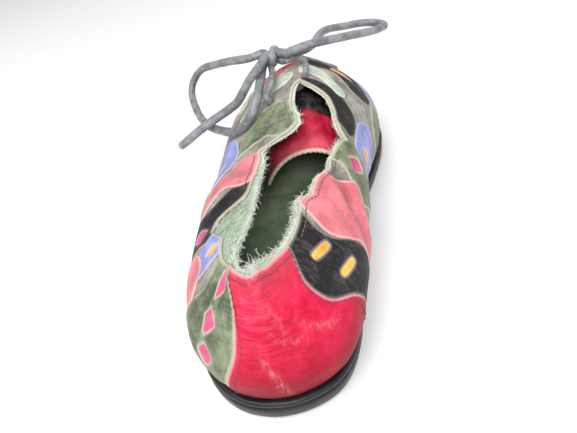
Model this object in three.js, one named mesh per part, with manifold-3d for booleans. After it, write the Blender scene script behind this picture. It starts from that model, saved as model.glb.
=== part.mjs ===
// Left lace-up flat shoe: outsole, insole, hollow leather upper, tongue and a tied lace.
// Working frame: x to the medial side, y to the toe, z up, mm, heel seat at y = 0.
import * as THREE from "three";
import { mergeVertices } from "three/addons/utils/BufferGeometryUtils.js";
import Module from "manifold-3d";

const wasm = await Module();
wasm.setup();

// ---- driving sizes, mm
const LAST_LENGTH = 244; // feather line, heel to toe
const BALL_WIDTH = 89.5; // feather line at the ball
const INSTEP_HEIGHT = 72.3; // highest point of the instep ridge
const HEEL_HEIGHT = 60.5; // top of the heel collar
const WALL = 2; // leather and lining
const GAP = 0.3; // between neighbouring pieces
const SOLE_MARGIN = 3.3; // sole stands out past the feather line
const ARCH_LIFT = 1.4; // hollow under the waist
const TOE_SPRING = 8;
const INSOLE_THICK = 2.6;
const TONGUE_THICK = 1.8;
const LACE_WIDTH = 4.4; // rounded leather thong
const EYELET_R = 2.5; // punched lace hole

// The tables hold mm for a last of these sizes; other sizes scale them.
const kx = BALL_WIDTH / 89.5;
const ky = LAST_LENGTH / 244;
const kz = INSTEP_HEIGHT / 72.3;
const kc = HEEL_HEIGHT / 60.5;

// ---- sections round the shoe, a row each: from the back of the heel along
// the lateral side to the toe and back along the medial side.
// fx, fy: feather line; out, up: lower handle of the wall's curve;
// cx, cy, cz: crest that the wall leans to (no cx: on the instep ridge at cy);
// reach, drop: upper handle of the curve
const SECTION_COLUMNS = ["name", "fx", "fy", "out", "up", "cx", "cy", "cz", "reach", "drop"];
const SECTIONS = [
  ["heel back", -1, 4.5, 9, 16, -2, 19.5, 60.5, 9, 14],
  ["heel lat 1", -16, 8, 10, 16, -8, 24.5, 59, 9, 14],
  ["heel lat 2", -27, 20, 13.5, 15, -11, 34, 56, 12, 12],
  ["quarter lat 1", -31, 42, 20, 15, -10, 47, 54.5, 17, 8],
  ["quarter lat 2", -33, 62, 20, 15, -9, 63, 54.5, 20, 7],
  ["quarter lat 3", -35, 82, 21, 16, -7.5, 80, 57.5, 22, 7],
  ["quarter lat 4", -37, 98, 21, 18, 2, 95, 63, 24, 7],
  ["facing lat 1", -39, 112, 17, 20, null, 110, null, 26, 7],
  ["facing lat 2", -41.5, 130, 12, 24, null, 128, null, 26, 6],
  ["vamp lat 1", -43.5, 150, 8, 26, null, 150, null, 26, 6],
  ["vamp lat 2", -44.5, 172, 6, 24, null, 172, null, 26, 6],
  ["vamp lat 3", -42.5, 196, 5, 20, null, 194, null, 25, 5],
  ["toe lat 1", -35, 220, 5, 17, null, 213, null, 21, 4],
  ["toe lat 2", -22, 238, 5, 16, null, 226, null, 18, 4],
  ["toe tip", -3, 248, 5, 15, null, 226, null, 15, 4],
  ["toe med 1", 17, 246, 5, 16, null, 226, null, 17, 3],
  ["toe med 2", 33, 232, 5, 18, null, 219, null, 21, 3],
  ["vamp med 1", 42, 210, 5, 21, null, 204, null, 24, 3],
  ["vamp med 2", 45, 185, 6, 25, null, 184, null, 25, 3],
  ["vamp med 3", 42, 160, 10, 30, null, 162, null, 24, 1],
  ["facing med 1", 36, 135, 13, 30, null, 140, null, 20, 2],
  ["facing med 2", 31, 113, 16, 25, null, 118, null, 16, 5],
  ["quarter med 1", 28.5, 93, 19, 20, 20, 96, 63.5, 9, 9],
  ["quarter med 2", 28.5, 73, 19, 17, 11.5, 74, 58, 14, 7],
  ["quarter med 3", 29, 53, 18, 16, 6.5, 55, 57, 15, 7],
  ["quarter med 4", 28, 33, 14, 15, 3, 38, 58, 14, 9],
  ["heel med 2", 22, 16, 10, 16, 1, 27, 60, 11, 12],
  ["heel med 1", 11, 7.5, 9, 16, -0.5, 21.5, 60.8, 9, 14],
].map((r) => Object.fromEntries(r.map((v, i) => [SECTION_COLUMNS[i], v])));

// instep ridge: y, x, z
const RIDGE = [
  [100, 14.5, 67], [110, 12, 68.5], [125, 8, 71], [142, 4.5, 72.3], [158, 3.5, 71],
  [172, 2.5, 66], [188, 0.5, 58], [204, -1.5, 49.5], [218, -3, 42], [226, -3, 38.5],
];
// top of the sole along the length: y, z
const SOLE_TOP = [
  [-5, 10.5], [40, 10.5], [75, 11], [105, 10.5], [135, 9], [165, 8.2], [200, 8.6], [225, 10.6], [250, 14.5], [256, 15.6],
];
// free edge of the upper: s along the feather line, share of the wall's curve
const COLLAR_LATERAL = [
  [0, 0.985], [2, 0.99], [9.5, 0.968], [15.5, 0.965], [24, 0.99], [34, 1], [90, 1], [99.4, 0.967], [105, 0.91],
  [109.2, 0.862], [110.6, 0.862], [112, 0.93], [114, 0.975], [117.5, 0.988], [122.1, 0.945], [128.5, 0.921], [134, 0.923],
  [139.2, 0.938], [144.5, 0.958], [150, 1],
];
const COLLAR_MEDIAL = [
  [424, 1], [425.8, 0.985], [426.9, 0.95], [427.8, 0.88], [428.8, 0.825], [430.6, 0.783], [434, 0.755], [438, 0.73], [444, 0.741],
  [450, 0.77], [452, 0.752], [453.4, 0.722], [456, 0.77], [460.3, 0.838], [465.4, 0.89], [469.9, 0.896], [474.2, 0.864], [477, 0.887],
  [480.4, 0.915], [486.9, 0.904], [489.8, 0.893], [492.5, 0.924], [496.2, 0.952], [502.6, 0.924], [507.1, 0.912], [512.9, 0.903],
  [518.4, 0.9], [524.1, 0.904], [530.5, 0.919], [538.3, 0.936], [546, 0.948], [555, 0.979], [565.95, 0.985],
];
const THROAT_Y = 135; // front end of the throat on the ridge
const POLE_Y = RIDGE[RIDGE.length - 1][0]; // toe end of the ridge

// tongue: y along the shoe, centre x, centre z, half width, drop of its sides
const TONGUE = [
  [104, 12, 49.5, 27, 18], [112, 11, 52.5, 26, 16.5], [124, 8.5, 56.5, 24, 13.5], [138, 6, 61.5, 22, 10.5], [150, 5, 63.5, 19, 8],
];

// lace, a row a point: x, y, z
const EYELET_LATERAL = [140.8, 0.8];
const EYELET_MEDIAL = [419.6, 0.945];
const KNOT = [-7.5, 151.5, 77.5];
const LOOP_LATERAL = [
  [-13.9, 153.9, 79.1], [-21.8, 152.4, 77.8], [-27.4, 154.7, 76.6], [-32.2, 157.8, 75.3], [-37.3, 160.4, 73.9], [-42.4, 162.9, 72.4],
  [-47.4, 165.7, 70.7], [-52.2, 168.7, 68.7], [-57.2, 170.4, 65.5], [-61, 169.4, 61.1], [-62.2, 165.6, 56.9], [-60.9, 160.6, 54.2],
  [-58.7, 155.3, 52.8], [-56.2, 150.1, 51.6], [-53.4, 145, 50.7], [-50.1, 140.1, 50.1], [-46.5, 135.4, 50], [-42.2, 131.3, 50.1],
  [-37.4, 127.9, 50.5], [-32.7, 124.5, 51.2], [-27.9, 121.5, 53], [-23.3, 119.6, 56.1], [-19.1, 119.6, 60.2], [-16.4, 122.2, 64.1],
  [-14.9, 126.4, 67.6], [-14.2, 132, 70.6], [-14.1, 148.3, 74.7],
];
const END_LATERAL = [
  [-12.1, 146.5, 79.7], [-12.7, 140.9, 79.1], [-15.4, 136.2, 77], [-19.3, 133.9, 73.2], [-22.7, 132.9, 68.7], [-26.3, 131.9, 64.1],
  [-31, 131.9, 60.7], [-36.1, 131.1, 58], [-40.8, 128.2, 56.3], [-45.7, 126.4, 53.9], [-50.6, 126.3, 50.8], [-55.2, 127.5, 47.3],
  [-59.6, 129.3, 43.9], [-63.9, 131.4, 40.5],
];
const LOOP_MEDIAL = [
  [-1.1, 149.3, 79.7], [8.9, 153, 81.5], [14.3, 155.7, 81.4], [19.4, 158.9, 80.9], [24.1, 162.7, 80.1], [28.5, 166.8, 79.2],
  [32.9, 170.9, 78.3], [37.2, 175.1, 77.2], [41.1, 179.5, 76.2], [44.6, 184.4, 75.1], [47.6, 189.6, 74.2], [49.8, 195.3, 73.2],
  [49.5, 201.3, 72.6], [45.6, 205.9, 72.3], [39.8, 207, 72.5], [34.3, 204.8, 73.1], [29.2, 201.4, 73.7], [23.9, 198.4, 74.3],
  [19, 194.9, 75], [15.5, 190, 75.5], [13.7, 184.2, 75.8], [12.7, 178.3, 76.1], [11.7, 172.2, 76.3], [10.4, 166.3, 76.5],
  [7.4, 160.7, 76.7], [-1.3, 154.7, 76.9],
];
const END_MEDIAL = [
  [-7.3, 157.5, 77.7], [-6, 166, 73.5], [-2.2, 176.2, 68], [2.8, 187.2, 61.5], [8.8, 198.2, 54.5], [14.8, 207.2, 48.1],
  [20.4, 215.3, 42.4],
];

// ---- splines through table rows, smooth in the second derivative
function tangents(x, y, period) {
  const n = x.length, m = new Array(n).fill(0);
  for (let pass = 0; pass < 80; pass++)
    for (let i = 0; i < n; i++) {
      if (!period && (i === 0 || i === n - 1)) {
        const j = i === 0 ? 1 : n - 2, h = x[j] - x[i];
        m[i] = (1.5 * (y[j] - y[i])) / h - 0.5 * m[j];
        continue;
      }
      const a = (i + n - 1) % n, b = (i + 1) % n;
      const hp = i > 0 ? x[i] - x[a] : x[0] + period - x[n - 1];
      const hn = i < n - 1 ? x[b] - x[i] : x[0] + period - x[n - 1];
      m[i] = (3 * ((y[i] - y[a]) / hp ** 2 + (y[b] - y[i]) / hn ** 2) - m[a] / hp - m[b] / hn) / (2 * (1 / hp + 1 / hn));
    }
  return m;
}
function spline(x, y, period) {
  const m = tangents(x, y, period), n = x.length;
  return (q) => {
    q = period ? x[0] + ((((q - x[0]) % period) + period) % period) : Math.min(Math.max(q, x[0]), x[n - 1]);
    let i = 0;
    while (i < (period ? n - 1 : n - 2) && q >= x[i + 1]) i++;
    const b = (i + 1) % n, h = (i < n - 1 ? x[i + 1] : x[0] + period) - x[i], t = (q - x[i]) / h;
    return (
      (2 * t ** 3 - 3 * t ** 2 + 1) * y[i] + (t ** 3 - 2 * t ** 2 + t) * h * m[i] +
      (-2 * t ** 3 + 3 * t ** 2) * y[b] + (t ** 3 - t ** 2) * h * m[b]
    );
  };
}
// shape-keeping cubic for the free edge, so it never runs past its rows
function edgeCurve(rows) {
  const x = rows.map((r) => r[0]), y = rows.map((r) => r[1]), n = x.length;
  const d = x.slice(1).map((v, i) => (y[i + 1] - y[i]) / (v - x[i]));
  const m = y.map((_, i) => (i === 0 ? d[0] : i === n - 1 ? d[n - 2] : d[i - 1] * d[i] <= 0 ? 0 : (2 * d[i - 1] * d[i]) / (d[i - 1] + d[i])));
  return (q) => {
    q = Math.min(Math.max(q, x[0]), x[n - 1]);
    let i = 0;
    while (i < n - 2 && q >= x[i + 1]) i++;
    const h = x[i + 1] - x[i], t = (q - x[i]) / h;
    return (
      (2 * t ** 3 - 3 * t ** 2 + 1) * y[i] + (t ** 3 - 2 * t ** 2 + t) * h * m[i] +
      (-2 * t ** 3 + 3 * t ** 2) * y[i + 1] + (t ** 3 - t ** 2) * h * m[i + 1]
    );
  };
}

// ---- the last's own functions
const rows = SECTIONS.map((r) => ({ ...r, fx: r.fx * kx, fy: r.fy * ky, cy: r.cy * ky, cx: r.cx === null ? null : r.cx * kx, cz: r.cz === null ? null : r.cz * kc }));
const ridgeX = spline(RIDGE.map((r) => r[0] * ky), RIDGE.map((r) => r[1] * kx));
const ridgeZ = spline(RIDGE.map((r) => r[0] * ky), RIDGE.map((r) => r[2] * kz));
const soleTop = spline(SOLE_TOP.map((r) => r[0] * ky), SOLE_TOP.map((r) => r[1]));
const stations = [0];
rows.forEach((r, i) => {
  const b = rows[(i + 1) % rows.length];
  stations.push(stations[i] + Math.hypot(b.fx - r.fx, b.fy - r.fy));
});
const GIRTH = stations.pop();
const along = (f) => spline(stations, rows.map(f), GIRTH);
const at = (name) => stations[rows.findIndex((r) => r.name === name)];
const featherX = along((r) => r.fx), featherY = along((r) => r.fy);
const out = along((r) => r.out), up = along((r) => r.up), reach = along((r) => r.reach), drop = along((r) => r.drop);
const crestX = along((r) => (r.cx === null ? ridgeX(r.cy) : r.cx));
const crestY = along((r) => r.cy);
const crestZ = along((r) => (r.cz === null ? ridgeZ(r.cy) : r.cz));

function feather(s) {
  const e = 0.5;
  const tx = featherX(s + e) - featherX(s - e), ty = featherY(s + e) - featherY(s - e), l = Math.hypot(tx, ty);
  return { x: featherX(s), y: featherY(s), nx: -ty / l, ny: tx / l };
}
function crest(s) {
  if (s >= at("facing lat 1") && s <= at("facing med 2")) {
    const y = Math.min(crestY(s), POLE_Y * ky);
    return [ridgeX(y), y, ridgeZ(y)];
  }
  return [crestX(s), crestY(s), crestZ(s)];
}
// point of the upper's outer surface: s along the feather line, t from 0 at
// the feather to 1 at the crest
function shell(s, t) {
  const f = feather(s), c = crest(s), z = soleTop(f.y) + GAP;
  const dx = f.x - c[0], dy = f.y - c[1], d = Math.hypot(dx, dy);
  const p = [
    [f.x, f.y, z],
    [f.x + f.nx * out(s), f.y + f.ny * out(s), z + up(s)],
    [c[0] + (dx / d) * reach(s), c[1] + (dy / d) * reach(s), c[2] - drop(s)],
    c,
  ];
  const w = [(1 - t) ** 3, 3 * (1 - t) ** 2 * t, 3 * (1 - t) * t * t, t ** 3];
  return [0, 1, 2].map((k) => p.reduce((a, q, i) => a + q[k] * w[i], 0));
}
function shellNormal(s, t) {
  const a = shell(s - 0.4, t), b = shell(s + 0.4, t), c = shell(s, Math.max(t - 0.01, 0)), d = shell(s, Math.min(t + 0.01, 1));
  const u = new THREE.Vector3(b[0] - a[0], b[1] - a[1], b[2] - a[2]), v = new THREE.Vector3(d[0] - c[0], d[1] - c[1], d[2] - c[2]);
  return v.cross(u).normalize();
}
function solve(f, target, lo, hi) {
  const rising = f(hi) > f(lo);
  for (let i = 0; i < 50; i++) {
    const mid = (lo + hi) / 2;
    if (f(mid) < target === rising) lo = mid;
    else hi = mid;
  }
  return (lo + hi) / 2;
}

// ---- mesh helpers
function geometry(verts, faces) {
  const g = new THREE.BufferGeometry();
  g.setAttribute("position", new THREE.BufferAttribute(new Float32Array(verts.flat()), 3));
  g.setIndex(faces.flat());
  return g;
}
function bare(g) {
  const c = g.clone();
  for (const k of Object.keys(c.attributes)) if (k !== "position") c.deleteAttribute(k);
  return mergeVertices(c, 1e-4);
}
function solid(g) {
  const m = bare(g);
  return new wasm.Manifold(new wasm.Mesh({ numProp: 3, vertProperties: m.attributes.position.array, triVerts: new Uint32Array(m.index.array) }));
}
function fromSolid(s) {
  const m = s.getMesh(), v = new Float32Array(m.numVert * 3);
  for (let i = 0; i < m.numVert; i++) v.set(m.vertProperties.subarray(i * m.numProp, i * m.numProp + 3), i * 3);
  const g = new THREE.BufferGeometry();
  g.setAttribute("position", new THREE.BufferAttribute(v, 3));
  g.setIndex(new THREE.BufferAttribute(new Uint32Array(m.triVerts), 1));
  return g;
}

// ---- plates that follow the feather outline: outsole and insole
const HEEL_S = solve((s) => featherY(s + 0.5) - featherY(s - 0.5), 0, -12, 12);
const TOE_S = solve((s) => featherY(s + 0.5) - featherY(s - 0.5), 0, at("toe lat 2"), at("toe med 1"));
// stations paired across the shoe, heel to toe
function pairs(n) {
  const y0 = featherY(HEEL_S), y1 = featherY(TOE_S), list = [];
  for (let i = 1; i < n; i++) {
    const y = y0 + (y1 - y0) * (0.5 - 0.5 * Math.cos((Math.PI * i) / n));
    list.push([solve(featherY, y, HEEL_S, TOE_S), solve(featherY, y, TOE_S, GIRTH + HEEL_S)]);
  }
  return list;
}
// rings: bottom to top, each a function of a station giving x, y, z
function plate(n, rings) {
  const p = pairs(n);
  const loop = [HEEL_S, ...p.map((q) => q[0]), TOE_S, ...p.map((q) => q[1]).reverse()];
  const L = loop.length, verts = [], faces = [];
  rings.forEach((ring) => loop.forEach((s) => verts.push(ring(s))));
  for (let r = 0; r + 1 < rings.length; r++)
    for (let i = 0; i < L; i++) {
      const j = (i + 1) % L, a = r * L + i, b = r * L + j, c = a + L, d = b + L;
      faces.push([a, c, b], [b, c, d]);
    }
  const cap = (base, flip) => {
    const tri = (a, b, c) => faces.push(flip ? [base + a, base + c, base + b] : [base + a, base + b, base + c]);
    const m = n - 1; // laterals 1..m, toe n, medials n+1..2n-1 from toe to heel
    tri(0, 1, L - 1);
    for (let i = 1; i < m; i++) {
      tri(i, i + 1, L - i);
      tri(i + 1, L - i - 1, L - i);
    }
    tri(m, n, n + 1);
  };
  cap(0, false);
  cap((rings.length - 1) * L, true);
  return geometry(verts, faces);
}
const FLAT_HEEL = 50 * ky, FLAT_FORE = [145 * ky, 190 * ky];
function soleBottom(y) {
  if (y > FLAT_HEEL && y < FLAT_FORE[0]) return ARCH_LIFT * Math.sin((Math.PI * (y - FLAT_HEEL)) / (FLAT_FORE[0] - FLAT_HEEL)) ** 2;
  if (y > FLAT_FORE[1]) return TOE_SPRING * ((y - FLAT_FORE[1]) / (LAST_LENGTH + 8 - FLAT_FORE[1])) ** 2;
  return 0;
}
const outline = (offset, z) => (s) => {
  const f = feather(s), x = f.x + f.nx * offset, y = f.y + f.ny * offset;
  return [x, y, z(y)];
};
const outsoleShape = plate(30, [
  outline(SOLE_MARGIN - 1.3, (y) => soleBottom(y)),
  outline(SOLE_MARGIN - 0.2, (y) => soleBottom(y) + 1.6),
  outline(SOLE_MARGIN, (y) => soleTop(y) - 1.2),
  outline(SOLE_MARGIN - 0.6, (y) => soleTop(y)),
]);
const insoleShape = plate(24, [
  outline(-WALL - 1.3, (y) => soleTop(y) + GAP),
  outline(-WALL - 1.3, (y) => soleTop(y) + GAP + INSOLE_THICK),
]);

// ---- upper: one hollow wall, open at the collar and throat and underneath
function upperShape() {
  const T = 10; // steps up the wall
  const edge = [edgeCurve(COLLAR_LATERAL), edgeCurve(COLLAR_MEDIAL)];
  const throat = [solve(crestY, THROAT_Y * ky, at("facing lat 1"), at("toe lat 2")), solve(crestY, THROAT_Y * ky, at("toe med 1"), at("facing med 2"))];
  const free = (table, lo, hi, from) => {
    const keep = new Set();
    for (let s = lo; s < hi - 1; s += from) keep.add(Math.round(s * 10) / 10);
    table.forEach(([s]) => {
      if (s > lo + 0.8 && s < hi - 0.8) {
        [...keep].forEach((k) => Math.abs(k - s) < 2.4 && k !== lo && !table.some((r) => r[0] === k) && keep.delete(k));
        keep.add(s);
      }
    });
    return [...keep].sort((a, b) => a - b);
  };
  const columns = []; // s, share of the curve, key of the shared top point
  free(COLLAR_LATERAL.filter((r) => r[0] > 95), 0, throat[0], 6.4).forEach((s) => columns.push([s, edge[0](s)]));
  const RIDGE_STEPS = 13;
  const ridge = [];
  for (let i = 0; i < RIDGE_STEPS; i++) ridge.push(THROAT_Y * ky + ((POLE_Y - THROAT_Y) * ky * i) / RIDGE_STEPS);
  ridge.forEach((y, i) => columns.push([solve(crestY, y, at("facing lat 1"), at("toe lat 2")), 1, "ridge" + i]));
  const fan = [at("toe lat 2") - 1, solve(crestY, POLE_Y * ky - 0.4, at("toe med 1"), at("toe med 2"))], FAN = 9;
  for (let i = 0; i <= FAN; i++) columns.push([fan[0] + ((fan[1] - fan[0]) * i) / FAN, 1, "pole"]);
  [...ridge.keys()].reverse().forEach((i) => columns.push([solve(crestY, ridge[i], at("toe med 1"), at("facing med 2")), 1, "ridge" + i]));
  const med = free(COLLAR_MEDIAL.filter((r) => r[0] < 500), throat[1], GIRTH, 6.2).slice(1);
  med.forEach((s) => columns.push([s, edge[1](s)]));

  const outer = [], shared = new Map(), grid = columns.map(([s, share, key]) => {
    const col = [];
    for (let j = 0; j <= T; j++) {
      if (j === T && key && shared.has(key)) {
        col.push(shared.get(key));
        continue;
      }
      if (j === T && key) shared.set(key, outer.length);
      col.push(outer.length);
      outer.push(shell(s, (share * j) / T));
    }
    return col;
  });
  const C = columns.length, faces = [];
  for (let i = 0; i < C; i++) {
    const a = grid[i], b = grid[(i + 1) % C];
    for (let j = 0; j < T; j++) {
      if (a[j] !== b[j]) faces.push([a[j], b[j], a[j + 1]]);
      if (a[j + 1] !== b[j + 1]) faces.push([b[j], b[j + 1], a[j + 1]]);
    }
  }
  // area-weighted normals of the welded outer wall
  const P = outer.map((p) => new THREE.Vector3(...p)), N = P.map(() => new THREE.Vector3());
  faces.forEach(([a, b, c]) => {
    const n = P[b].clone().sub(P[a]).cross(P[c].clone().sub(P[a]));
    [a, b, c].forEach((k) => N[k].add(n));
  });
  const flip = N[grid[0][2]].y > 0; // the heel's back must face -y
  const inner = P.map((p, k) => p.clone().addScaledVector(N[k].normalize(), flip ? WALL : -WALL));
  grid.forEach((col, i) => {
    const f = feather(columns[i][0]);
    inner[col[0]].set(f.x - f.nx * WALL, f.y - f.ny * WALL, outer[col[0]][2]);
  });
  const n = outer.length, verts = [...outer, ...inner.map((p) => p.toArray())];
  const all = [];
  const put = (a, b, c) => all.push(flip ? [a, c, b] : [a, b, c]);
  faces.forEach(([a, b, c]) => {
    put(a, b, c);
    put(n + a, n + c, n + b);
  });
  for (let i = 0; i < C; i++) {
    const a = grid[i], b = grid[(i + 1) % C];
    put(a[0], n + a[0], b[0]);
    put(b[0], n + a[0], n + b[0]);
    const shut = columns[i][2] && columns[(i + 1) % C][2];
    if (!shut) {
      put(a[T], b[T], n + a[T]);
      put(b[T], n + b[T], n + a[T]);
    }
  }
  return geometry(verts, all);
}
function hole([s, t]) {
  const p = new THREE.Vector3(...shell(s, t)), q = new THREE.Quaternion();
  let nrm = shellNormal(s, t);
  if (nrm.z < 0) nrm.negate();
  q.setFromUnitVectors(new THREE.Vector3(0, 1, 0), nrm);
  const g = new THREE.CylinderGeometry(EYELET_R, EYELET_R, 12, 14);
  g.applyQuaternion(q);
  g.translate(p.x, p.y, p.z);
  return { g, p, nrm };
}
const holeL = hole(EYELET_LATERAL), holeM = hole(EYELET_MEDIAL);
const upperSolid = solid(upperShape()).subtract(solid(holeL.g)).subtract(solid(holeM.g));

// ---- tongue: an arched leaf between the flaps, its front end under the vamp
function tongueShape() {
  const L = 14, W = 14, ys = TONGUE.map((r) => r[0] * ky), f = [1, 2, 3, 4].map((k) => spline(ys, TONGUE.map((r) => r[k])));
  const mid = (v, w) => {
    const y = ys[0] + (ys[ys.length - 1] - ys[0]) * v;
    const a = Math.abs(w), x = f[0](y) + w * f[2](y) * (w < 0 ? 1 : 0.84) * (1 - 0.12 * w * w);
    return new THREE.Vector3(x, y, f[1](y) - f[3](y) * a ** 2.1);
  };
  const verts = [], faces = [];
  for (const side of [1, -1])
    for (let i = 0; i <= L; i++)
      for (let j = 0; j <= W; j++) {
        const v = i / L, w = (2 * j) / W - 1, e = 0.01;
        const dv = mid(v + e, w).sub(mid(v - e, w)), dw = mid(v, w + e).sub(mid(v, w - e));
        const n = dw.cross(dv).normalize();
        verts.push(mid(v, w).addScaledVector(n, (side * TONGUE_THICK) / 2).toArray());
      }
  const id = (k, i, j) => k * (L + 1) * (W + 1) + i * (W + 1) + j;
  for (let i = 0; i < L; i++)
    for (let j = 0; j < W; j++) {
      faces.push([id(0, i, j), id(0, i, j + 1), id(0, i + 1, j)], [id(0, i, j + 1), id(0, i + 1, j + 1), id(0, i + 1, j)]);
      faces.push([id(1, i, j), id(1, i + 1, j), id(1, i, j + 1)], [id(1, i, j + 1), id(1, i + 1, j), id(1, i + 1, j + 1)]);
    }
  const rim = (a, b, c, d) => faces.push([a, b, c], [b, d, c]);
  for (let j = 0; j < W; j++) {
    rim(id(0, 0, j), id(1, 0, j), id(0, 0, j + 1), id(1, 0, j + 1));
    rim(id(0, L, j), id(0, L, j + 1), id(1, L, j), id(1, L, j + 1));
  }
  for (let i = 0; i < L; i++) {
    rim(id(0, i, 0), id(0, i + 1, 0), id(1, i, 0), id(1, i + 1, 0));
    rim(id(0, i, W), id(1, i, W), id(0, i + 1, W), id(1, i + 1, W));
  }
  return geometry(verts, faces);
}

// ---- lace: a thong swept along a curve through its rows
function thong(points, steps, width = LACE_WIDTH) {
  const shape = new THREE.Shape();
  for (let i = 0; i < 8; i++) {
    const a = ((i + 0.5) * Math.PI) / 4;
    shape[i ? "lineTo" : "moveTo"]((Math.cos(a) * width) / 2, (Math.sin(a) * width) / 2);
  }
  const curve = new THREE.CatmullRomCurve3(points.map((p) => new THREE.Vector3(...p)), false, "centripetal");
  return bare(new THREE.ExtrudeGeometry(shape, { steps, extrudePath: curve, bevelEnabled: false }));
}
// bar: from above the lateral hole, in, across under the flaps, out of the medial hole
const off = (h, d) => h.p.clone().addScaledVector(h.nrm, d).toArray();
const BAR = [
  [-9.5, 146.6, 74.6], [-8.4, 140.5, 73.2], [-8.4, 133, 71.2], off(holeL, 3.6), off(holeL, 0), off(holeL, -WALL - 2.4),
  [-2, 132, 65.2],
  off(holeM, -WALL - 2.6), off(holeM, 0), off(holeM, 3), [8.6, 143.6, 75.6], [6.2, 148.8, 75.9], [1.5, 151.3, 75.8], [-2.4, 148.6, 75.7],
];
const barShape = thong(BAR, 26, 3);
// knot: a bound lump that the strands come out of
function knotShape() {
  const g = new THREE.SphereGeometry(1, 14, 8);
  g.scale(5, 4.5, 3.4);
  g.rotateZ(0.35);
  g.translate(...KNOT);
  return bare(g);
}

// ---- scene graph
const leather = (color) => new THREE.MeshStandardMaterial({ color, roughness: 0.55, metalness: 0 });
const rubber = new THREE.MeshStandardMaterial({ color: 0x1b1c20, roughness: 0.5, metalness: 0 });
const shoe = new THREE.Group();
function piece(name, geom, material) {
  const m = new THREE.Mesh(geom, material);
  m.name = name;
  shoe.add(m);
  return m;
}
piece("outsole", outsoleShape, rubber);
piece("insole", insoleShape, leather(0x35523b));
piece("upper", fromSolid(upperSolid), leather(0xb5233f));
piece("tongue", tongueShape(), leather(0xc62a48));
piece("lace_bar", barShape, leather(0x8e949c));
piece("lace_knot", knotShape(), leather(0x8e949c));
piece("lace_loop_lateral", thong(LOOP_LATERAL, 26), leather(0x8e949c));
piece("lace_loop_medial", thong(LOOP_MEDIAL, 24), leather(0x8e949c));
piece("lace_end_lateral", thong(END_LATERAL, 16), leather(0x8e949c));
piece("lace_end_medial", thong(END_MEDIAL, 12), leather(0x8e949c));

// origin: on the floor, at the middle of the shoe without its lace ends
const span = new THREE.Box3();
for (const m of shoe.children)
  if (!m.name.startsWith("lace_") || m.name === "lace_bar") {
    m.geometry.computeBoundingBox();
    span.union(m.geometry.boundingBox);
  }
shoe.children.forEach((m) => m.geometry.translate(-(span.min.x + span.max.x) / 2, -(span.min.y + span.max.y) / 2, -span.min.z));

export default shoe;
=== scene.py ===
"""Looks of a left lace-up flat shoe: patchwork leather upper with a frayed lining, tongue, insole,
rubber sole and a tied leather thong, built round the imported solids. Lengths below are mm in the
last's own frame (x medial, y toe, z up, heel seat at y = 0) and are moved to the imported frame."""

import math

import bpy
import numpy as np
from mathutils import Matrix, Vector
from mathutils.bvhtree import BVHTree


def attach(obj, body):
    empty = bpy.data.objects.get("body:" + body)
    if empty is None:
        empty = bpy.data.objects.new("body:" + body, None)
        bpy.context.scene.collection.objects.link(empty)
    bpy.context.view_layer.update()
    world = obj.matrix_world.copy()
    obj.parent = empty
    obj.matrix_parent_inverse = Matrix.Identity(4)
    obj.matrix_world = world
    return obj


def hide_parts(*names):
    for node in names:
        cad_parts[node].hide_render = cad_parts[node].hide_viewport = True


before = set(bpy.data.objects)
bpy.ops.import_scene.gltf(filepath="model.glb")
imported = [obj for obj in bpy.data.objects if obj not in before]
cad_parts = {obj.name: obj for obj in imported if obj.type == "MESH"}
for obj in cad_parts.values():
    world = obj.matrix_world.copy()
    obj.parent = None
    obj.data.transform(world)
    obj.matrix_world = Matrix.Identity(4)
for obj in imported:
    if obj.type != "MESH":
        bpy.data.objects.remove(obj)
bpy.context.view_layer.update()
RNG = np.random.default_rng(11)
SHIFT = np.array([0.275265, 126.576897, 0.0])  # last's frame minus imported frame

# ------------------------------------------------------------------ the last
WALL, GAP, SOLE_MARGIN, ARCH_LIFT, TOE_SPRING = 2.0, 0.3, 3.3, 1.4, 8.0
INSOLE_THICK, TONGUE_THICK, LACE_WIDTH, EYELET_R = 2.6, 1.8, 4.4, 2.4
LAST_LENGTH, THROAT_Y, POLE_Y = 244.0, 135.0, 226.0
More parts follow.
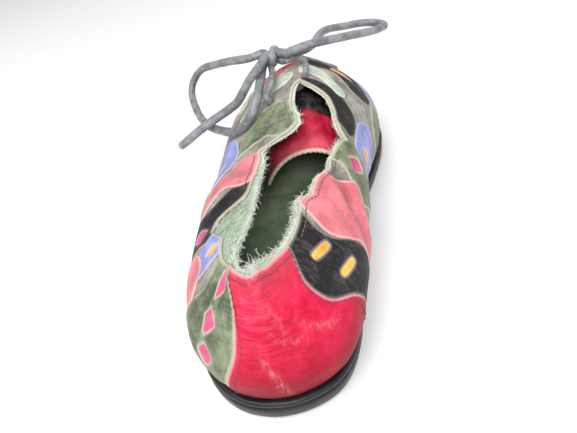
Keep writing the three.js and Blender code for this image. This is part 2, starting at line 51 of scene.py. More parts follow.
# name, fx, fy (feather line), out, up, cx, cy, cz (crest), reach, drop
SECTIONS = [
    ("heel back", -1, 4.5, 9, 16, -2, 19.5, 60.5, 9, 14),
    ("heel lat 1", -16, 8, 10, 16, -8, 24.5, 59, 9, 14),
    ("heel lat 2", -27, 20, 13.5, 15, -11, 34, 56, 12, 12),
    ("quarter lat 1", -31, 42, 20, 15, -10, 47, 54.5, 17, 8),
    ("quarter lat 2", -33, 62, 20, 15, -9, 63, 54.5, 20, 7),
    ("quarter lat 3", -35, 82, 21, 16, -7.5, 80, 57.5, 22, 7),
    ("quarter lat 4", -37, 98, 21, 18, 2, 95, 63, 24, 7),
    ("facing lat 1", -39, 112, 17, 20, None, 110, None, 26, 7),
    ("facing lat 2", -41.5, 130, 12, 24, None, 128, None, 26, 6),
    ("vamp lat 1", -43.5, 150, 8, 26, None, 150, None, 26, 6),
    ("vamp lat 2", -44.5, 172, 6, 24, None, 172, None, 26, 6),
    ("vamp lat 3", -42.5, 196, 5, 20, None, 194, None, 25, 5),
    ("toe lat 1", -35, 220, 5, 17, None, 213, None, 21, 4),
    ("toe lat 2", -22, 238, 5, 16, None, 226, None, 18, 4),
    ("toe tip", -3, 248, 5, 15, None, 226, None, 15, 4),
    ("toe med 1", 17, 246, 5, 16, None, 226, None, 17, 3),
    ("toe med 2", 33, 232, 5, 18, None, 219, None, 21, 3),
    ("vamp med 1", 42, 210, 5, 21, None, 204, None, 24, 3),
    ("vamp med 2", 45, 185, 6, 25, None, 184, None, 25, 3),
    ("vamp med 3", 42, 160, 10, 30, None, 162, None, 24, 1),
    ("facing med 1", 36, 135, 13, 30, None, 140, None, 20, 2),
    ("facing med 2", 31, 113, 16, 25, None, 118, None, 16, 5),
    ("quarter med 1", 28.5, 93, 19, 20, 20, 96, 63.5, 9, 9),
    ("quarter med 2", 28.5, 73, 19, 17, 11.5, 74, 58, 14, 7),
    ("quarter med 3", 29, 53, 18, 16, 6.5, 55, 57, 15, 7),
    ("quarter med 4", 28, 33, 14, 15, 3, 38, 58, 14, 9),
    ("heel med 2", 22, 16, 10, 16, 1, 27, 60, 11, 12),
    ("heel med 1", 11, 7.5, 9, 16, -0.5, 21.5, 60.8, 9, 14),
]
RIDGE = [(100, 14.5, 67), (110, 12, 68.5), (125, 8, 71), (142, 4.5, 72.3), (158, 3.5, 71), (172, 2.5, 66),
         (188, 0.5, 58), (204, -1.5, 49.5), (218, -3, 42), (226, -3, 38.5)]
SOLE_TOP = [(-5, 10.5), (40, 10.5), (75, 11), (105, 10.5), (135, 9), (165, 8.2), (200, 8.6), (225, 10.6), (250, 14.5), (256, 15.6)]
COLLAR_LATERAL = [
    (0, 0.985), (2, 0.99), (9.5, 0.968), (15.5, 0.965), (24, 0.99), (34, 1), (90, 1), (99.4, 0.967), (105, 0.91),
    (109.2, 0.862), (110.6, 0.862), (112, 0.93), (114, 0.975), (117.5, 0.988), (122.1, 0.945), (128.5, 0.921), (134, 0.923),
    (139.2, 0.938), (144.5, 0.958), (150, 1)]
COLLAR_MEDIAL = [
    (424, 1), (425.8, 0.985), (426.9, 0.95), (427.8, 0.88), (428.8, 0.825), (430.6, 0.783), (434, 0.755), (438, 0.73), (444, 0.741),
    (450, 0.77), (452, 0.752), (453.4, 0.722), (456, 0.77), (460.3, 0.838), (465.4, 0.89), (469.9, 0.896), (474.2, 0.864), (477, 0.887),
    (480.4, 0.915), (486.9, 0.904), (489.8, 0.893), (492.5, 0.924), (496.2, 0.952), (502.6, 0.924), (507.1, 0.912), (512.9, 0.903),
    (518.4, 0.9), (524.1, 0.904), (530.5, 0.919), (538.3, 0.936), (546, 0.948), (555, 0.979), (565.95, 0.985)]
# where the leather is worn back from the lining: station, share of the wall's curve
WORN_LATERAL = [
    (0, 0.965), (9.5, 0.95), (15.5, 0.944), (24, 0.925), (30.7, 0.886), (42.5, 0.836), (53.3, 0.809), (58.2, 0.8), (61.1, 0.761),
    (67, 0.689), (70.7, 0.667), (74.4, 0.674), (76.6, 0.72), (77.8, 0.8), (79, 0.9), (82, 0.94), (90, 0.952), (99.4, 0.945),
    (105, 0.892), (109.2, 0.846), (110.6, 0.846), (112.4, 0.91), (114.4, 0.955), (117.5, 0.968), (122.1, 0.928), (128.5, 0.904),
    (134, 0.906), (139.2, 0.921), (144.5, 0.941), (150, 0.985)]
TONGUE = [(104, 12, 49.5, 27, 18), (112, 11, 52.5, 26, 16.5), (124, 8.5, 56.5, 24, 13.5), (138, 6, 61.5, 22, 10.5), (150, 5, 63.5, 19, 8)]
EYELETS = [(140.8, 0.8), (419.6, 0.945)]
KNOT = (-7.5, 151.5, 77.5)
LOOP_LATERAL = [
    (-13.9, 153.9, 79.1), (-21.8, 152.4, 77.8), (-27.4, 154.7, 76.6), (-32.2, 157.8, 75.3), (-37.3, 160.4, 73.9), (-42.4, 162.9, 72.4), (-47.4, 165.7, 70.7),
    (-52.2, 168.7, 68.7), (-57.2, 170.4, 65.5), (-61, 169.4, 61.1), (-62.2, 165.6, 56.9), (-60.9, 160.6, 54.2), (-58.7, 155.3, 52.8), (-56.2, 150.1, 51.6),
    (-53.4, 145, 50.7), (-50.1, 140.1, 50.1), (-46.5, 135.4, 50), (-42.2, 131.3, 50.1), (-37.4, 127.9, 50.5), (-32.7, 124.5, 51.2), (-27.9, 121.5, 53),
    (-23.3, 119.6, 56.1), (-19.1, 119.6, 60.2), (-16.4, 122.2, 64.1), (-14.9, 126.4, 67.6), (-14.2, 132, 70.6), (-14.1, 148.3, 74.7)]
END_LATERAL = [
    (-12.1, 146.5, 79.7), (-12.7, 140.9, 79.1), (-15.4, 136.2, 77), (-19.3, 133.9, 73.2), (-22.7, 132.9, 68.7), (-26.3, 131.9, 64.1), (-31, 131.9, 60.7),
    (-36.1, 131.1, 58), (-40.8, 128.2, 56.3), (-45.7, 126.4, 53.9), (-50.6, 126.3, 50.8), (-55.2, 127.5, 47.3), (-59.6, 129.3, 43.9), (-63.9, 131.4, 40.5)]
LOOP_MEDIAL = [
    (-1.1, 149.3, 79.7), (8.9, 153, 81.5), (14.3, 155.7, 81.4), (19.4, 158.9, 80.9), (24.1, 162.7, 80.1), (28.5, 166.8, 79.2), (32.9, 170.9, 78.3),
    (37.2, 175.1, 77.2), (41.1, 179.5, 76.2), (44.6, 184.4, 75.1), (47.6, 189.6, 74.2), (49.8, 195.3, 73.2), (49.5, 201.3, 72.6), (45.6, 205.9, 72.3),
    (39.8, 207, 72.5), (34.3, 204.8, 73.1), (29.2, 201.4, 73.7), (23.9, 198.4, 74.3), (19, 194.9, 75), (15.5, 190, 75.5), (13.7, 184.2, 75.8),
    (12.7, 178.3, 76.1), (11.7, 172.2, 76.3), (10.4, 166.3, 76.5), (7.4, 160.7, 76.7), (-1.3, 154.7, 76.9)]
END_MEDIAL = [
    (-7.3, 157.5, 77.7), (-6, 166, 73.5), (-2.2, 176.2, 68), (2.8, 187.2, 61.5), (8.8, 198.2, 54.5), (14.8, 207.2, 48.1), (20.4, 215.3, 42.4)]

# ------------------------------------------------------------------ camera first, then cords
# The photo's viewpoint, turned to the one shoe.
VIEWPOINT = np.array([32.3, -72.0, 159.6]) - SHIFT
HEADING, PITCH, FOCAL_PX = math.radians(1.95), math.radians(45.36), 433.0
AIM_PX, LENS = (207.0, 180.0), 27.6


def photo_camera():
    cam = bpy.data.cameras.new("camera")
    obj = bpy.data.objects.new("camera", cam)
    bpy.context.scene.collection.objects.link(obj)
    forward = np.array([math.sin(HEADING) * math.cos(PITCH), math.cos(HEADING) * math.cos(PITCH), -math.sin(PITCH)])
    right = np.array([math.cos(HEADING), -math.sin(HEADING), 0.0])
    up = np.cross(right, forward)
    aim = forward + right * (AIM_PX[0] - 288.5) / FOCAL_PX - up * (AIM_PX[1] - 216.5) / FOCAL_PX
    aim /= np.linalg.norm(aim)

    def slope(r, u, f):
        """angle of the shoe's length in the picture"""
        ends = []
        for p in ((0.0, 5.0, 30.0), (0.0, 190.0, 50.0)):
            d = np.array(p) - SHIFT - VIEWPOINT
            ends.append(np.array([d @ r, d @ u]) / (d @ f))
        v = ends[1] - ends[0]
        return math.atan2(v[1], v[0])

    r1 = right - aim * (right @ aim)
    r1 /= np.linalg.norm(r1)
    u1 = np.cross(r1, aim)
    turn = slope(r1, u1, aim) - slope(right, up, forward)
    r2 = math.cos(turn) * r1 + math.sin(turn) * u1
    u2 = np.cross(r2, aim)
    m = Matrix([[r2[0], u2[0], -aim[0], 0], [r2[1], u2[1], -aim[1], 0], [r2[2], u2[2], -aim[2], 0], [0, 0, 0, 1]])
    m.translation = Vector(VIEWPOINT / 1000)
    obj.matrix_world = m
    cam.sensor_width, cam.lens = 36.0, LENS
    cam.clip_start, cam.clip_end = 0.005, 20
    bpy.context.scene.camera = obj
    return obj


photo_camera()


# ------------------------------------------------------------------ splines
def tangents(x, y, period=None):
    x, y = np.asarray(x, float), np.asarray(y, float)
    n, m = len(x), np.zeros_like(np.asarray(y, float))
    for _ in range(80):
        for i in range(n):
            if period is None and i in (0, n - 1):
                j = 1 if i == 0 else n - 2
                m[i] = 1.5 * (y[j] - y[i]) / (x[j] - x[i]) - 0.5 * m[j]
                continue
            hp = (x[i] - x[i - 1]) if i > 0 else x[0] + period - x[-1]
            k = (i + 1) % n
            hn = (x[k] - x[i]) if i < n - 1 else x[0] + period - x[-1]
            m[i] = (3 * ((y[i] - y[i - 1]) / hp**2 + (y[k] - y[i]) / hn**2) - m[i - 1] / hp - m[k] / hn) / (2 * (1 / hp + 1 / hn))
    return m


class Spline:
    def __init__(self, x, y, period=None):
        self.x, self.y, self.p = np.asarray(x, float), np.asarray(y, float), period
        if self.y.ndim == 1:
            self.m = tangents(self.x, self.y, period)
        else:
            self.m = np.stack([tangents(self.x, self.y[:, c], period) for c in range(self.y.shape[1])], 1)

    def __call__(self, q):
        q, n = np.asarray(q, float), len(self.x)
        if self.p is not None:
            q = (q - self.x[0]) % self.p + self.x[0]
            xs = np.append(self.x, self.x[0] + self.p)
        else:
            q, xs = np.clip(q, self.x[0], self.x[-1]), self.x
        i = np.clip(np.searchsorted(xs, q, side="right") - 1, 0, len(xs) - 2)
        h = xs[i + 1] - xs[i]
        t, k = (q - xs[i]) / h, (i + 1) % n
        if self.y.ndim > 1:
            t, h = t[..., None], h[..., None]
        return ((2 * t**3 - 3 * t**2 + 1) * self.y[i] + (t**3 - 2 * t**2 + t) * h * self.m[i]
                + (-2 * t**3 + 3 * t**2) * self.y[k] + (t**3 - t**2) * h * self.m[k])


def edge_curve(rows):
    """shape-keeping cubic, so a free edge never runs past its rows"""
    x, y = np.array([r[0] for r in rows], float), np.array([r[1] for r in rows], float)
    d = np.diff(y) / np.diff(x)
    m = np.zeros_like(y)
    m[0], m[-1] = d[0], d[-1]
    for i in range(1, len(y) - 1):
        m[i] = 0 if d[i - 1] * d[i] <= 0 else 2 * d[i - 1] * d[i] / (d[i - 1] + d[i])

    def f(q):
        q = np.clip(np.asarray(q, float), x[0], x[-1])
        i = np.clip(np.searchsorted(x, q, side="right") - 1, 0, len(x) - 2)
        h = x[i + 1] - x[i]
        t = (q - x[i]) / h
        return ((2 * t**3 - 3 * t**2 + 1) * y[i] + (t**3 - 2 * t**2 + t) * h * m[i]
                + (-2 * t**3 + 3 * t**2) * y[i + 1] + (t**3 - t**2) * h * m[i + 1])

    return f


def smooth(x, lo, hi):
    t = np.clip((np.asarray(x, float) - lo) / (hi - lo), 0, 1)
    return t * t * (3 - 2 * t)


def solve(f, target, lo, hi):
    rising = f(hi) > f(lo)
    for _ in range(50):
        mid = (lo + hi) / 2
        if (f(mid) < target) == rising:
            lo = mid
        else:
            hi = mid
    return (lo + hi) / 2


ridge = Spline([r[0] for r in RIDGE], [(r[1], r[2]) for r in RIDGE])
sole_top = Spline([r[0] for r in SOLE_TOP], [r[1] for r in SOLE_TOP])
_F = np.array([(r[1], r[2]) for r in SECTIONS], float)
_D = np.linalg.norm(np.roll(_F, -1, 0) - _F, axis=1)
STATION = np.concatenate([[0], np.cumsum(_D)[:-1]])
GIRTH = float(_D.sum())
AT = {r[0]: float(s) for r, s in zip(SECTIONS, STATION)}
_C = np.array([(ridge(r[6])[0], r[6], ridge(r[6])[1]) if r[5] is None else (r[5], r[6], r[7]) for r in SECTIONS], float)
feather = Spline(STATION, _F, GIRTH)
crest = Spline(STATION, _C, GIRTH)
handle = Spline(STATION, np.array([(r[3], r[4], r[8], r[9]) for r in SECTIONS], float), GIRTH)


def outward(u):
    e = 0.5
    tg = feather(u + e) - feather(u - e)
    tg /= np.linalg.norm(tg, axis=-1, keepdims=True)
    return np.stack([-tg[..., 1], tg[..., 0]], -1)


def shell(u, t):
    """point of the upper's outer surface: u along the feather line, t from 0 there to 1 at the crest"""
    u, t = np.asarray(u, float) % GIRTH, np.asarray(t, float)[..., None]
    f, nrm = feather(u), outward(u)
    z0 = sole_top(f[..., 1]) + GAP
    c, h = crest(u), handle(u)
    vamp = (u >= AT["facing lat 1"]) & (u <= AT["facing med 2"])
    yy = np.minimum(c[..., 1], POLE_Y)
    rz = ridge(yy)
    cc = np.where(vamp[..., None], np.stack([rz[..., 0], yy, rz[..., 1]], -1), c)
    p0 = np.concatenate([f, z0[..., None]], -1)
    p1 = p0 + np.concatenate([nrm * h[..., 0:1], h[..., 1:2]], -1)
    dr = f - cc[..., :2]
    dr /= np.linalg.norm(dr, axis=-1, keepdims=True)
    p2 = cc + np.concatenate([dr * h[..., 2:3], -h[..., 3:4]], -1)
    return (1 - t) ** 3 * p0 + 3 * (1 - t) ** 2 * t * p1 + 3 * (1 - t) * t * t * p2 + t**3 * cc


# arc length up the wall, mm, at each station and share
_uu, _tt = np.linspace(0, GIRTH, 567), np.linspace(0, 1.06, 107)
_g = shell(np.repeat(_uu, 107), np.tile(_tt, 567)).reshape(567, 107, 3)
_arc = np.concatenate([np.zeros((567, 1)), np.cumsum(np.linalg.norm(np.diff(_g, axis=1), axis=2), axis=1)], 1)


def height(u, t):
    u = np.asarray(u, float) % GIRTH
    x, y = u / GIRTH * 566, np.clip(np.asarray(t, float) / 1.06 * 106, 0, 105.999)
    i, j = np.minimum(x.astype(int), 565), y.astype(int)
    a, b = x - i, y - j
    return (_arc[i, j] * (1 - a) + _arc[i + 1, j] * a) * (1 - b) + (_arc[i, j + 1] * (1 - a) + _arc[i + 1, j + 1] * a) * b


def share(u, h):
    """share of the wall's curve at height h"""
    u = np.asarray(u, float) % GIRTH
    out = np.zeros_like(np.asarray(h, float) + u)
    it = np.nditer(out, flags=["multi_index"], op_flags=["readwrite"])
    ub, hb = np.broadcast_to(u, out.shape), np.broadcast_to(h, out.shape)
    for o in it:
        k = int(round(ub[it.multi_index] / GIRTH * 566))
        o[...] = np.interp(hb[it.multi_index], _arc[k], _tt)
    return out


def noise(p, size, seed, octaves=1):
    """smooth repeatable unevenness about -1..1 with features of that size, mm"""
    r = np.random.default_rng(seed)
    total, amp, norm = np.zeros(len(p)), 1.0, 0.0
    for _ in range(octaves):
        v = np.zeros(len(p))
        for _k in range(9):
            d = r.normal(size=3)
            d *= r.uniform(0.6, 1.4) / np.linalg.norm(d)
            v += np.sin(p @ d * (2 * math.pi / size) + r.uniform(0, 6.28))
        total += amp * v / 3.0
        norm += amp
        amp, size = amp * 0.5, size * 0.5
    return total / norm


def polyline_distance(points, line):
    """distance to a polyline and how far along it, 0..1"""
    line = np.asarray(line, float)
    seg = np.diff(line, axis=0)
    lens = np.linalg.norm(seg, axis=1)
    cum, total = np.concatenate([[0], np.cumsum(lens)]), lens.sum()
    best, where = np.full(len(points), 1e9), np.zeros(len(points))
    for a, d, l, c in zip(line[:-1], seg, lens, cum):
        t = np.clip(((points - a) @ d) / (l * l), 0, 1)
        e = np.linalg.norm(points - a - t[:, None] * d, axis=1)
        hit = e < best
        best[hit], where[hit] = e[hit], (c + t[hit] * l) / total
    return best, where


def round_line(points, closed=False, n=8):
    """Catmull-Rom line through the points"""
    p = np.asarray(points, float)
    p = np.vstack([p[-1:], p, p[:2]]) if closed else np.vstack([2 * p[0] - p[1], p, 2 * p[-1] - p[-2]])
    out = []
    for i in range(len(p) - 3):
        a, b, c, d = p[i:i + 4]
        for k in range(n):
            t = k / n
            out.append(0.5 * (2 * b + (c - a) * t + (2 * a - 5 * b + 4 * c - d) * t * t + (3 * b - a - 3 * c + d) * t**3))
    if not closed:
        out.append(p[-2])
    return np.array(out)


def signed(points, outline):
    """distance inside (+) or outside (-) a closed outline"""
    lo, hi = outline.min(0) - 6, outline.max(0) + 6
    near = ((points > lo) & (points < hi)).all(1)
    out = np.full(len(points), -6.0)
    if not near.any():
        return out
    q, inside = points[near], np.zeros(near.sum(), bool)
    best = np.full(len(q), 1e9)
    for a, b in zip(outline, np.roll(outline, -1, 0)):
        d = b - a
        t = np.clip(((q - a) @ d) / max(d @ d, 1e-12), 0, 1)
        best = np.minimum(best, np.linalg.norm(q - a - t[:, None] * d, axis=1))
        cross = (a[1] > q[:, 1]) != (b[1] > q[:, 1])
        with np.errstate(divide="ignore", invalid="ignore"):
            inside ^= cross & (q[:, 0] < (b[0] - a[0]) * (q[:, 1] - a[1]) / (b[1] - a[1]) + a[0])
    out[near] = np.clip(np.where(inside, best, -best), -6, 6)
    return out


# ------------------------------------------------------------------ mesh helpers
def make_object(name, verts, faces, attributes=None, vectors=None, smooth_shade=True):
    """faces: list of arrays of triangles or quads; verts in mm of the last's frame"""
    v = (np.asarray(verts, float) - SHIFT) / 1000
    mesh = bpy.data.meshes.new(name)
    faces = [np.asarray(f, np.int32) for f in faces if len(f)]
    loops = np.concatenate([f.ravel() for f in faces])
    sizes = np.concatenate([np.full(len(f), f.shape[1], np.int32) for f in faces])
    starts = np.concatenate([[0], np.cumsum(sizes)[:-1]]).astype(np.int32)
    mesh.vertices.add(len(v))
    mesh.vertices.foreach_set("co", v.astype(np.float32).ravel())
    mesh.loops.add(len(loops))
    mesh.loops.foreach_set("vertex_index", loops)
    mesh.polygons.add(len(sizes))
    mesh.polygons.foreach_set("loop_start", starts)
    mesh.update(calc_edges=True)
    mesh.validate()
    if smooth_shade:
        mesh.polygons.foreach_set("use_smooth", np.ones(len(mesh.polygons), bool))
    for k, a in (attributes or {}).items():
        mesh.attributes.new(k, "FLOAT", "POINT").data.foreach_set("value", np.asarray(a, np.float32))
    for k, a in (vectors or {}).items():
        mesh.attributes.new(k, "FLOAT_VECTOR", "POINT").data.foreach_set("vector", np.asarray(a, np.float32).ravel())
    mesh.update()
    obj = bpy.data.objects.new(name, mesh)
    bpy.context.scene.collection.objects.link(obj)
    return obj


def vertex_normals(verts, faces):
    n = np.zeros_like(verts)
    for f in faces:
        f = np.asarray(f)
        if not len(f):
            continue
        for k in range(1, f.shape[1] - 1):
            c = np.cross(verts[f[:, k]] - verts[f[:, 0]], verts[f[:, k + 1]] - verts[f[:, 0]])
            for j in (0, k, k + 1):
                np.add.at(n, f[:, j], c)
    return n / np.maximum(np.linalg.norm(n, axis=1, keepdims=True), 1e-12)


def boundary(faces):
    """directed edges that only one face has"""
    e = []
    for f in faces:
        f = np.asarray(f)
        if len(f):
            for k in range(f.shape[1]):
                e.append(np.stack([f[:, k], f[:, (k + 1) % f.shape[1]]], 1))
    e = np.concatenate(e)
    e = e[e[:, 0] != e[:, 1]]
    key = set(map(tuple, e.tolist()))
    return np.array([p for p in e.tolist() if (p[1], p[0]) not in key])


def fix_winding(V, F):
    """turn the faces so that the closed mesh has a positive volume"""
    vol = 0.0
    for f in F:
        if len(f):
            for k in range(1, f.shape[1] - 1):
                vol += np.einsum("ij,ij->i", V[f[:, 0]], np.cross(V[f[:, k]], V[f[:, k + 1]])).sum()
    return F if vol > 0 else [f[:, ::-1] for f in F if len(f)]


def thick_sheet(verts, faces, normals, outer, inner, bulge=0.25, bulge_at=None):
    """closed sheet: the surface moved by outer and inner along its normals, with a rounded rim.
    Returns verts, faces and, for each new vertex, the surface vertex that it stands for."""
    n = len(verts)
    a, b = verts + normals * np.asarray(outer).reshape(-1, 1), verts + normals * np.asarray(inner).reshape(-1, 1)
    rim = boundary(faces)
    ids = np.unique(rim)
    direction = np.zeros_like(verts)
    d = verts[rim[:, 1]] - verts[rim[:, 0]]
    out = np.cross(d, normals[rim[:, 0]])
    out /= np.maximum(np.linalg.norm(out, axis=1, keepdims=True), 1e-9)
    np.add.at(direction, rim[:, 0], out)
    np.add.at(direction, rim[:, 1], out)
    direction /= np.maximum(np.linalg.norm(direction, axis=1, keepdims=True), 1e-9)
    thickness = np.linalg.norm(a - b, axis=1, keepdims=True)
    rows, new = [], []
    for f, s in ((0.2, 0.8), (0.5, 1.0), (0.8, 0.8)):
        rows.append({v: 2 * n + len(new) + i for i, v in enumerate(ids)})
        new.extend((a[ids] * (1 - f) + b[ids] * f + direction[ids] * thickness[ids] * bulge * s).tolist())
    vv = np.vstack([a, b, np.array(new)])
    ff = [np.asarray(f) for f in faces if len(f)]
    ff += [np.asarray(f)[:, ::-1] + n for f in faces if len(f)]
    chain = [dict(zip(ids, ids)), *rows, {v: v + n for v in ids}]
    side = []
    for c0, c1 in zip(chain[:-1], chain[1:]):
        side.append(np.array([[c0[q], c0[p], c1[p], c1[q]] for p, q in rim.tolist()]))
    ff += side
    stands = np.concatenate([np.arange(n), np.arange(n), np.tile(ids, 3)])
    return vv, ff, stands


def grid_faces(a):
    """quads of a 2-D index grid, without those that have shrunk to nothing; triangles where two corners are one"""
    q = np.stack([a[:-1, :-1], a[1:, :-1], a[1:, 1:], a[:-1, 1:]], -1).reshape(-1, 4)
    same = [q[:, k] == q[:, (k + 1) % 4] for k in range(4)]
    count = sum(s.astype(int) for s in same)
    quads, tris = q[count == 0], []
    for k in range(4):
        pick = (count == 1) & same[k]
        tris.append(q[pick][:, [j for j in range(4) if j != k]])
    return [quads, np.concatenate(tris)]


def relax(verts, faces, weight, rounds, rate=0.5):
    e = []
    for f in faces:
        if len(f):
            for k in range(f.shape[1]):
                e.append(np.stack([f[:, k], f[:, (k + 1) % f.shape[1]]], 1))
    e = np.unique(np.sort(np.concatenate(e), axis=1), axis=0)
    v = verts.copy()
    deg = np.zeros(len(v))
    np.add.at(deg, e[:, 0], 1)
    np.add.at(deg, e[:, 1], 1)
    for _ in range(rounds):
        s = np.zeros_like(v)
        np.add.at(s, e[:, 0], v[e[:, 1]])
        np.add.at(s, e[:, 1], v[e[:, 0]])
        v += (s / np.maximum(deg, 1)[:, None] - v) * (weight * rate)[:, None]
    return v


# ------------------------------------------------------------------ the wall as a welded grid
U_THROAT_L = solve(lambda u: crest(u)[1], THROAT_Y, AT["facing lat 1"], AT["toe lat 2"])
U_THROAT_M = solve(lambda u: crest(u)[1], THROAT_Y, AT["toe med 1"], AT["facing med 2"])


def wall_grid(step, rows, top_lateral, top_medial):
    cols, ridge_y = [], np.linspace(THROAT_Y, POLE_Y, int(116 / step), endpoint=False)
    for u in np.linspace(0, U_THROAT_L, int(U_THROAT_L / step), endpoint=False):
        cols.append((u, float(top_lateral(u)), None))
    for i, y in enumerate(ridge_y):
        cols.append((solve(lambda u: crest(u)[1], y, AT["facing lat 1"], AT["toe lat 2"]), 1.0, ("r", i)))
    fan0, fan1 = AT["toe lat 2"] - 1, solve(lambda u: crest(u)[1], POLE_Y - 0.4, AT["toe med 1"], AT["toe med 2"])
    for u in np.linspace(fan0, fan1, int((fan1 - fan0) / step)):
        cols.append((u, 1.0, ("p", 0)))
    for i in range(len(ridge_y) - 1, -1, -1):
        cols.append((solve(lambda u: crest(u)[1], ridge_y[i], AT["toe med 1"], AT["facing med 2"]), 1.0, ("r", i)))
    for u in np.linspace(U_THROAT_M, GIRTH, int((GIRTH - U_THROAT_M) / step), endpoint=False)[1:]:
        cols.append((u, float(top_medial(u)), None))
    us, ts = np.array([c[0] for c in cols]), np.array([c[1] for c in cols])
    U, T = np.repeat(us, rows + 1), (ts[:, None] * np.linspace(0, 1, rows + 1)[None, :]).ravel()
    P = shell(U, T)
    ids = np.arange(len(U)).reshape(len(cols), rows + 1)
    seen = {}
    for k, (_, _, key) in enumerate(cols):
        if key is not None:
            ids[k, rows] = seen.setdefault(key, ids[k, rows])
    used, back = np.unique(ids, return_inverse=True)
    ids = back.reshape(ids.shape)
    P, U, T = P[used], U[used], T[used]
    faces = [f[:, ::-1] for f in grid_faces(np.vstack([ids, ids[:1]]))]  # wound to face outwards
    top = np.repeat(ts, rows + 1)[used]
    return P, U, T, top, faces, ids


# ------------------------------------------------------------------ folds and creases
# chart "wall": a = station (medial side negative), h = height up the wall; chart "plan": x, y
CREASES = [  # chart, points, half width, height (+ ridge, - trough)
    ("wall", [(-116, 58), (-104, 44), (-92, 28), (-80, 12)], 3.6, -0.75),
    ("wall", [(-109, 60), (-97, 46), (-85, 30), (-73, 12)], 3.4, 0.8),
    ("wall", [(-102, 60), (-90, 46), (-78, 30), (-68, 14)], 2.8, -0.85),
    ("wall", [(-95, 60), (-83, 45), (-71, 28)], 3.2, 0.55),
    ("wall", [(-88, 58), (-76, 42), (-66, 28)], 2.2, -0.45),
    ("wall", [(-128, 56), (-120, 40), (-112, 22)], 3.6, -0.6),
    ("wall", [(-122, 62), (-113, 48), (-104, 34)], 3.4, 0.5),
    ("wall", [(-150, 44), (-136, 34), (-122, 30)], 4.2, -0.6),
    ("wall", [(-70, 8), (-50, 12), (-32, 10)], 4.5, -0.35),
    ("wall", [(22, 54), (19.5, 40), (20, 22), (22, 10)], 1.7, -0.5),
    ("wall", [(26, 52), (23.5, 38), (24, 20)], 1.6, 0.4),
    ("wall", [(30, 50), (27.5, 36), (28.5, 16)], 1.8, -0.5),
    ("wall", [(36, 40), (34, 26), (36, 12)], 2.4, -0.3),
    ("wall", [(56, 48), (50, 34), (46, 20)], 5.0, -0.6),
    ("wall", [(84, 56), (76, 42), (66, 24)], 5.0, -0.8),
    ("wall", [(98, 62), (90, 46), (82, 26)], 4.2, 0.6),
    ("wall", [(108, 60), (100, 44), (92, 24)], 3.6, -0.7),
    ("wall", [(126, 50), (116, 38), (108, 22)], 4.4, -0.6),
    ("wall", [(150, 36), (136, 30), (122, 30)], 4.5, -0.5),
    ("wall", [(92, 66), (100, 50), (118, 40)], 2.8, -0.7),
    ("wall", [(100, 70), (108, 56), (124, 48)], 3.0, 0.6),
    ("wall", [(106, 76), (114, 64), (130, 58)], 2.6, -0.6),
    ("wall", [(70, 62), (66, 50), (58, 40)], 2.8, -0.45),
    ("wall", [(60, 66), (57, 54), (50, 44)], 2.6, 0.4),
    ("plan", [(-45, 170), (-28, 162), (-8, 158), (12, 158), (30, 163), (45, 172)], 3.0, -0.75),
    ("plan", [(-45, 176), (-26, 168), (-6, 165), (14, 165), (30, 169), (45, 178)], 2.6, 0.4),
    ("plan", [(-45, 183), (-26, 175), (-6, 172), (14, 172), (32, 176), (45, 186)], 3.2, -0.95),
    ("plan", [(-44, 190), (-24, 183), (-4, 180), (14, 180), (32, 184), (44, 193)], 3.0, 0.45),
    ("plan", [(-43, 197), (-22, 190), (-4, 187), (14, 187), (30, 191), (43, 200)], 2.6, -0.6),
    ("plan", [(-40, 152), (-24, 147), (-10, 146)], 3.0, -0.5),
    ("plan", [(44, 160), (30, 150), (18, 147)], 3.0, -0.5),
    ("plan", [(-30, 214), (-12, 222), (8, 222), (26, 214)], 6.0, -0.35),
]


def chart(u, t):
    a = np.where(u > GIRTH / 2, u - GIRTH, u)
    return np.stack([a, height(u, t)], 1)


def unevenness(P, U, T):
    """displacement along the normal, mm, and how deep each point lies in a trough, 0..1"""
    wall, plan = chart(U, T), P[:, :2]
    on_top = smooth(T, 0.35, 0.6) * smooth(P[:, 1], 128, 142)
    d, deep = np.zeros(len(P)), np.zeros(len(P))
    for which, line, width, tall in CREASES:
        pts = wall if which == "wall" else plan
        dist, where = polyline_distance(pts, round_line(line))
        shape = np.exp(-((dist / width) ** 2)) * np.sin(np.pi * np.clip(where * 0.92 + 0.04, 0, 1)) ** 0.6
        if which == "plan":
            shape = shape * on_top
        d += 1.25 * tall * shape
        if tall < 0:
            deep = np.maximum(deep, shape * min(1.0, -tall))
    d += 0.34 * noise(P, 34, 3, 2)
    d += 0.1 * noise(P, 9, 5, 2)
    fade = smooth(T, 0.0, 0.12)  # held flat where it is lasted to the sole
    return d * fade, deep * fade


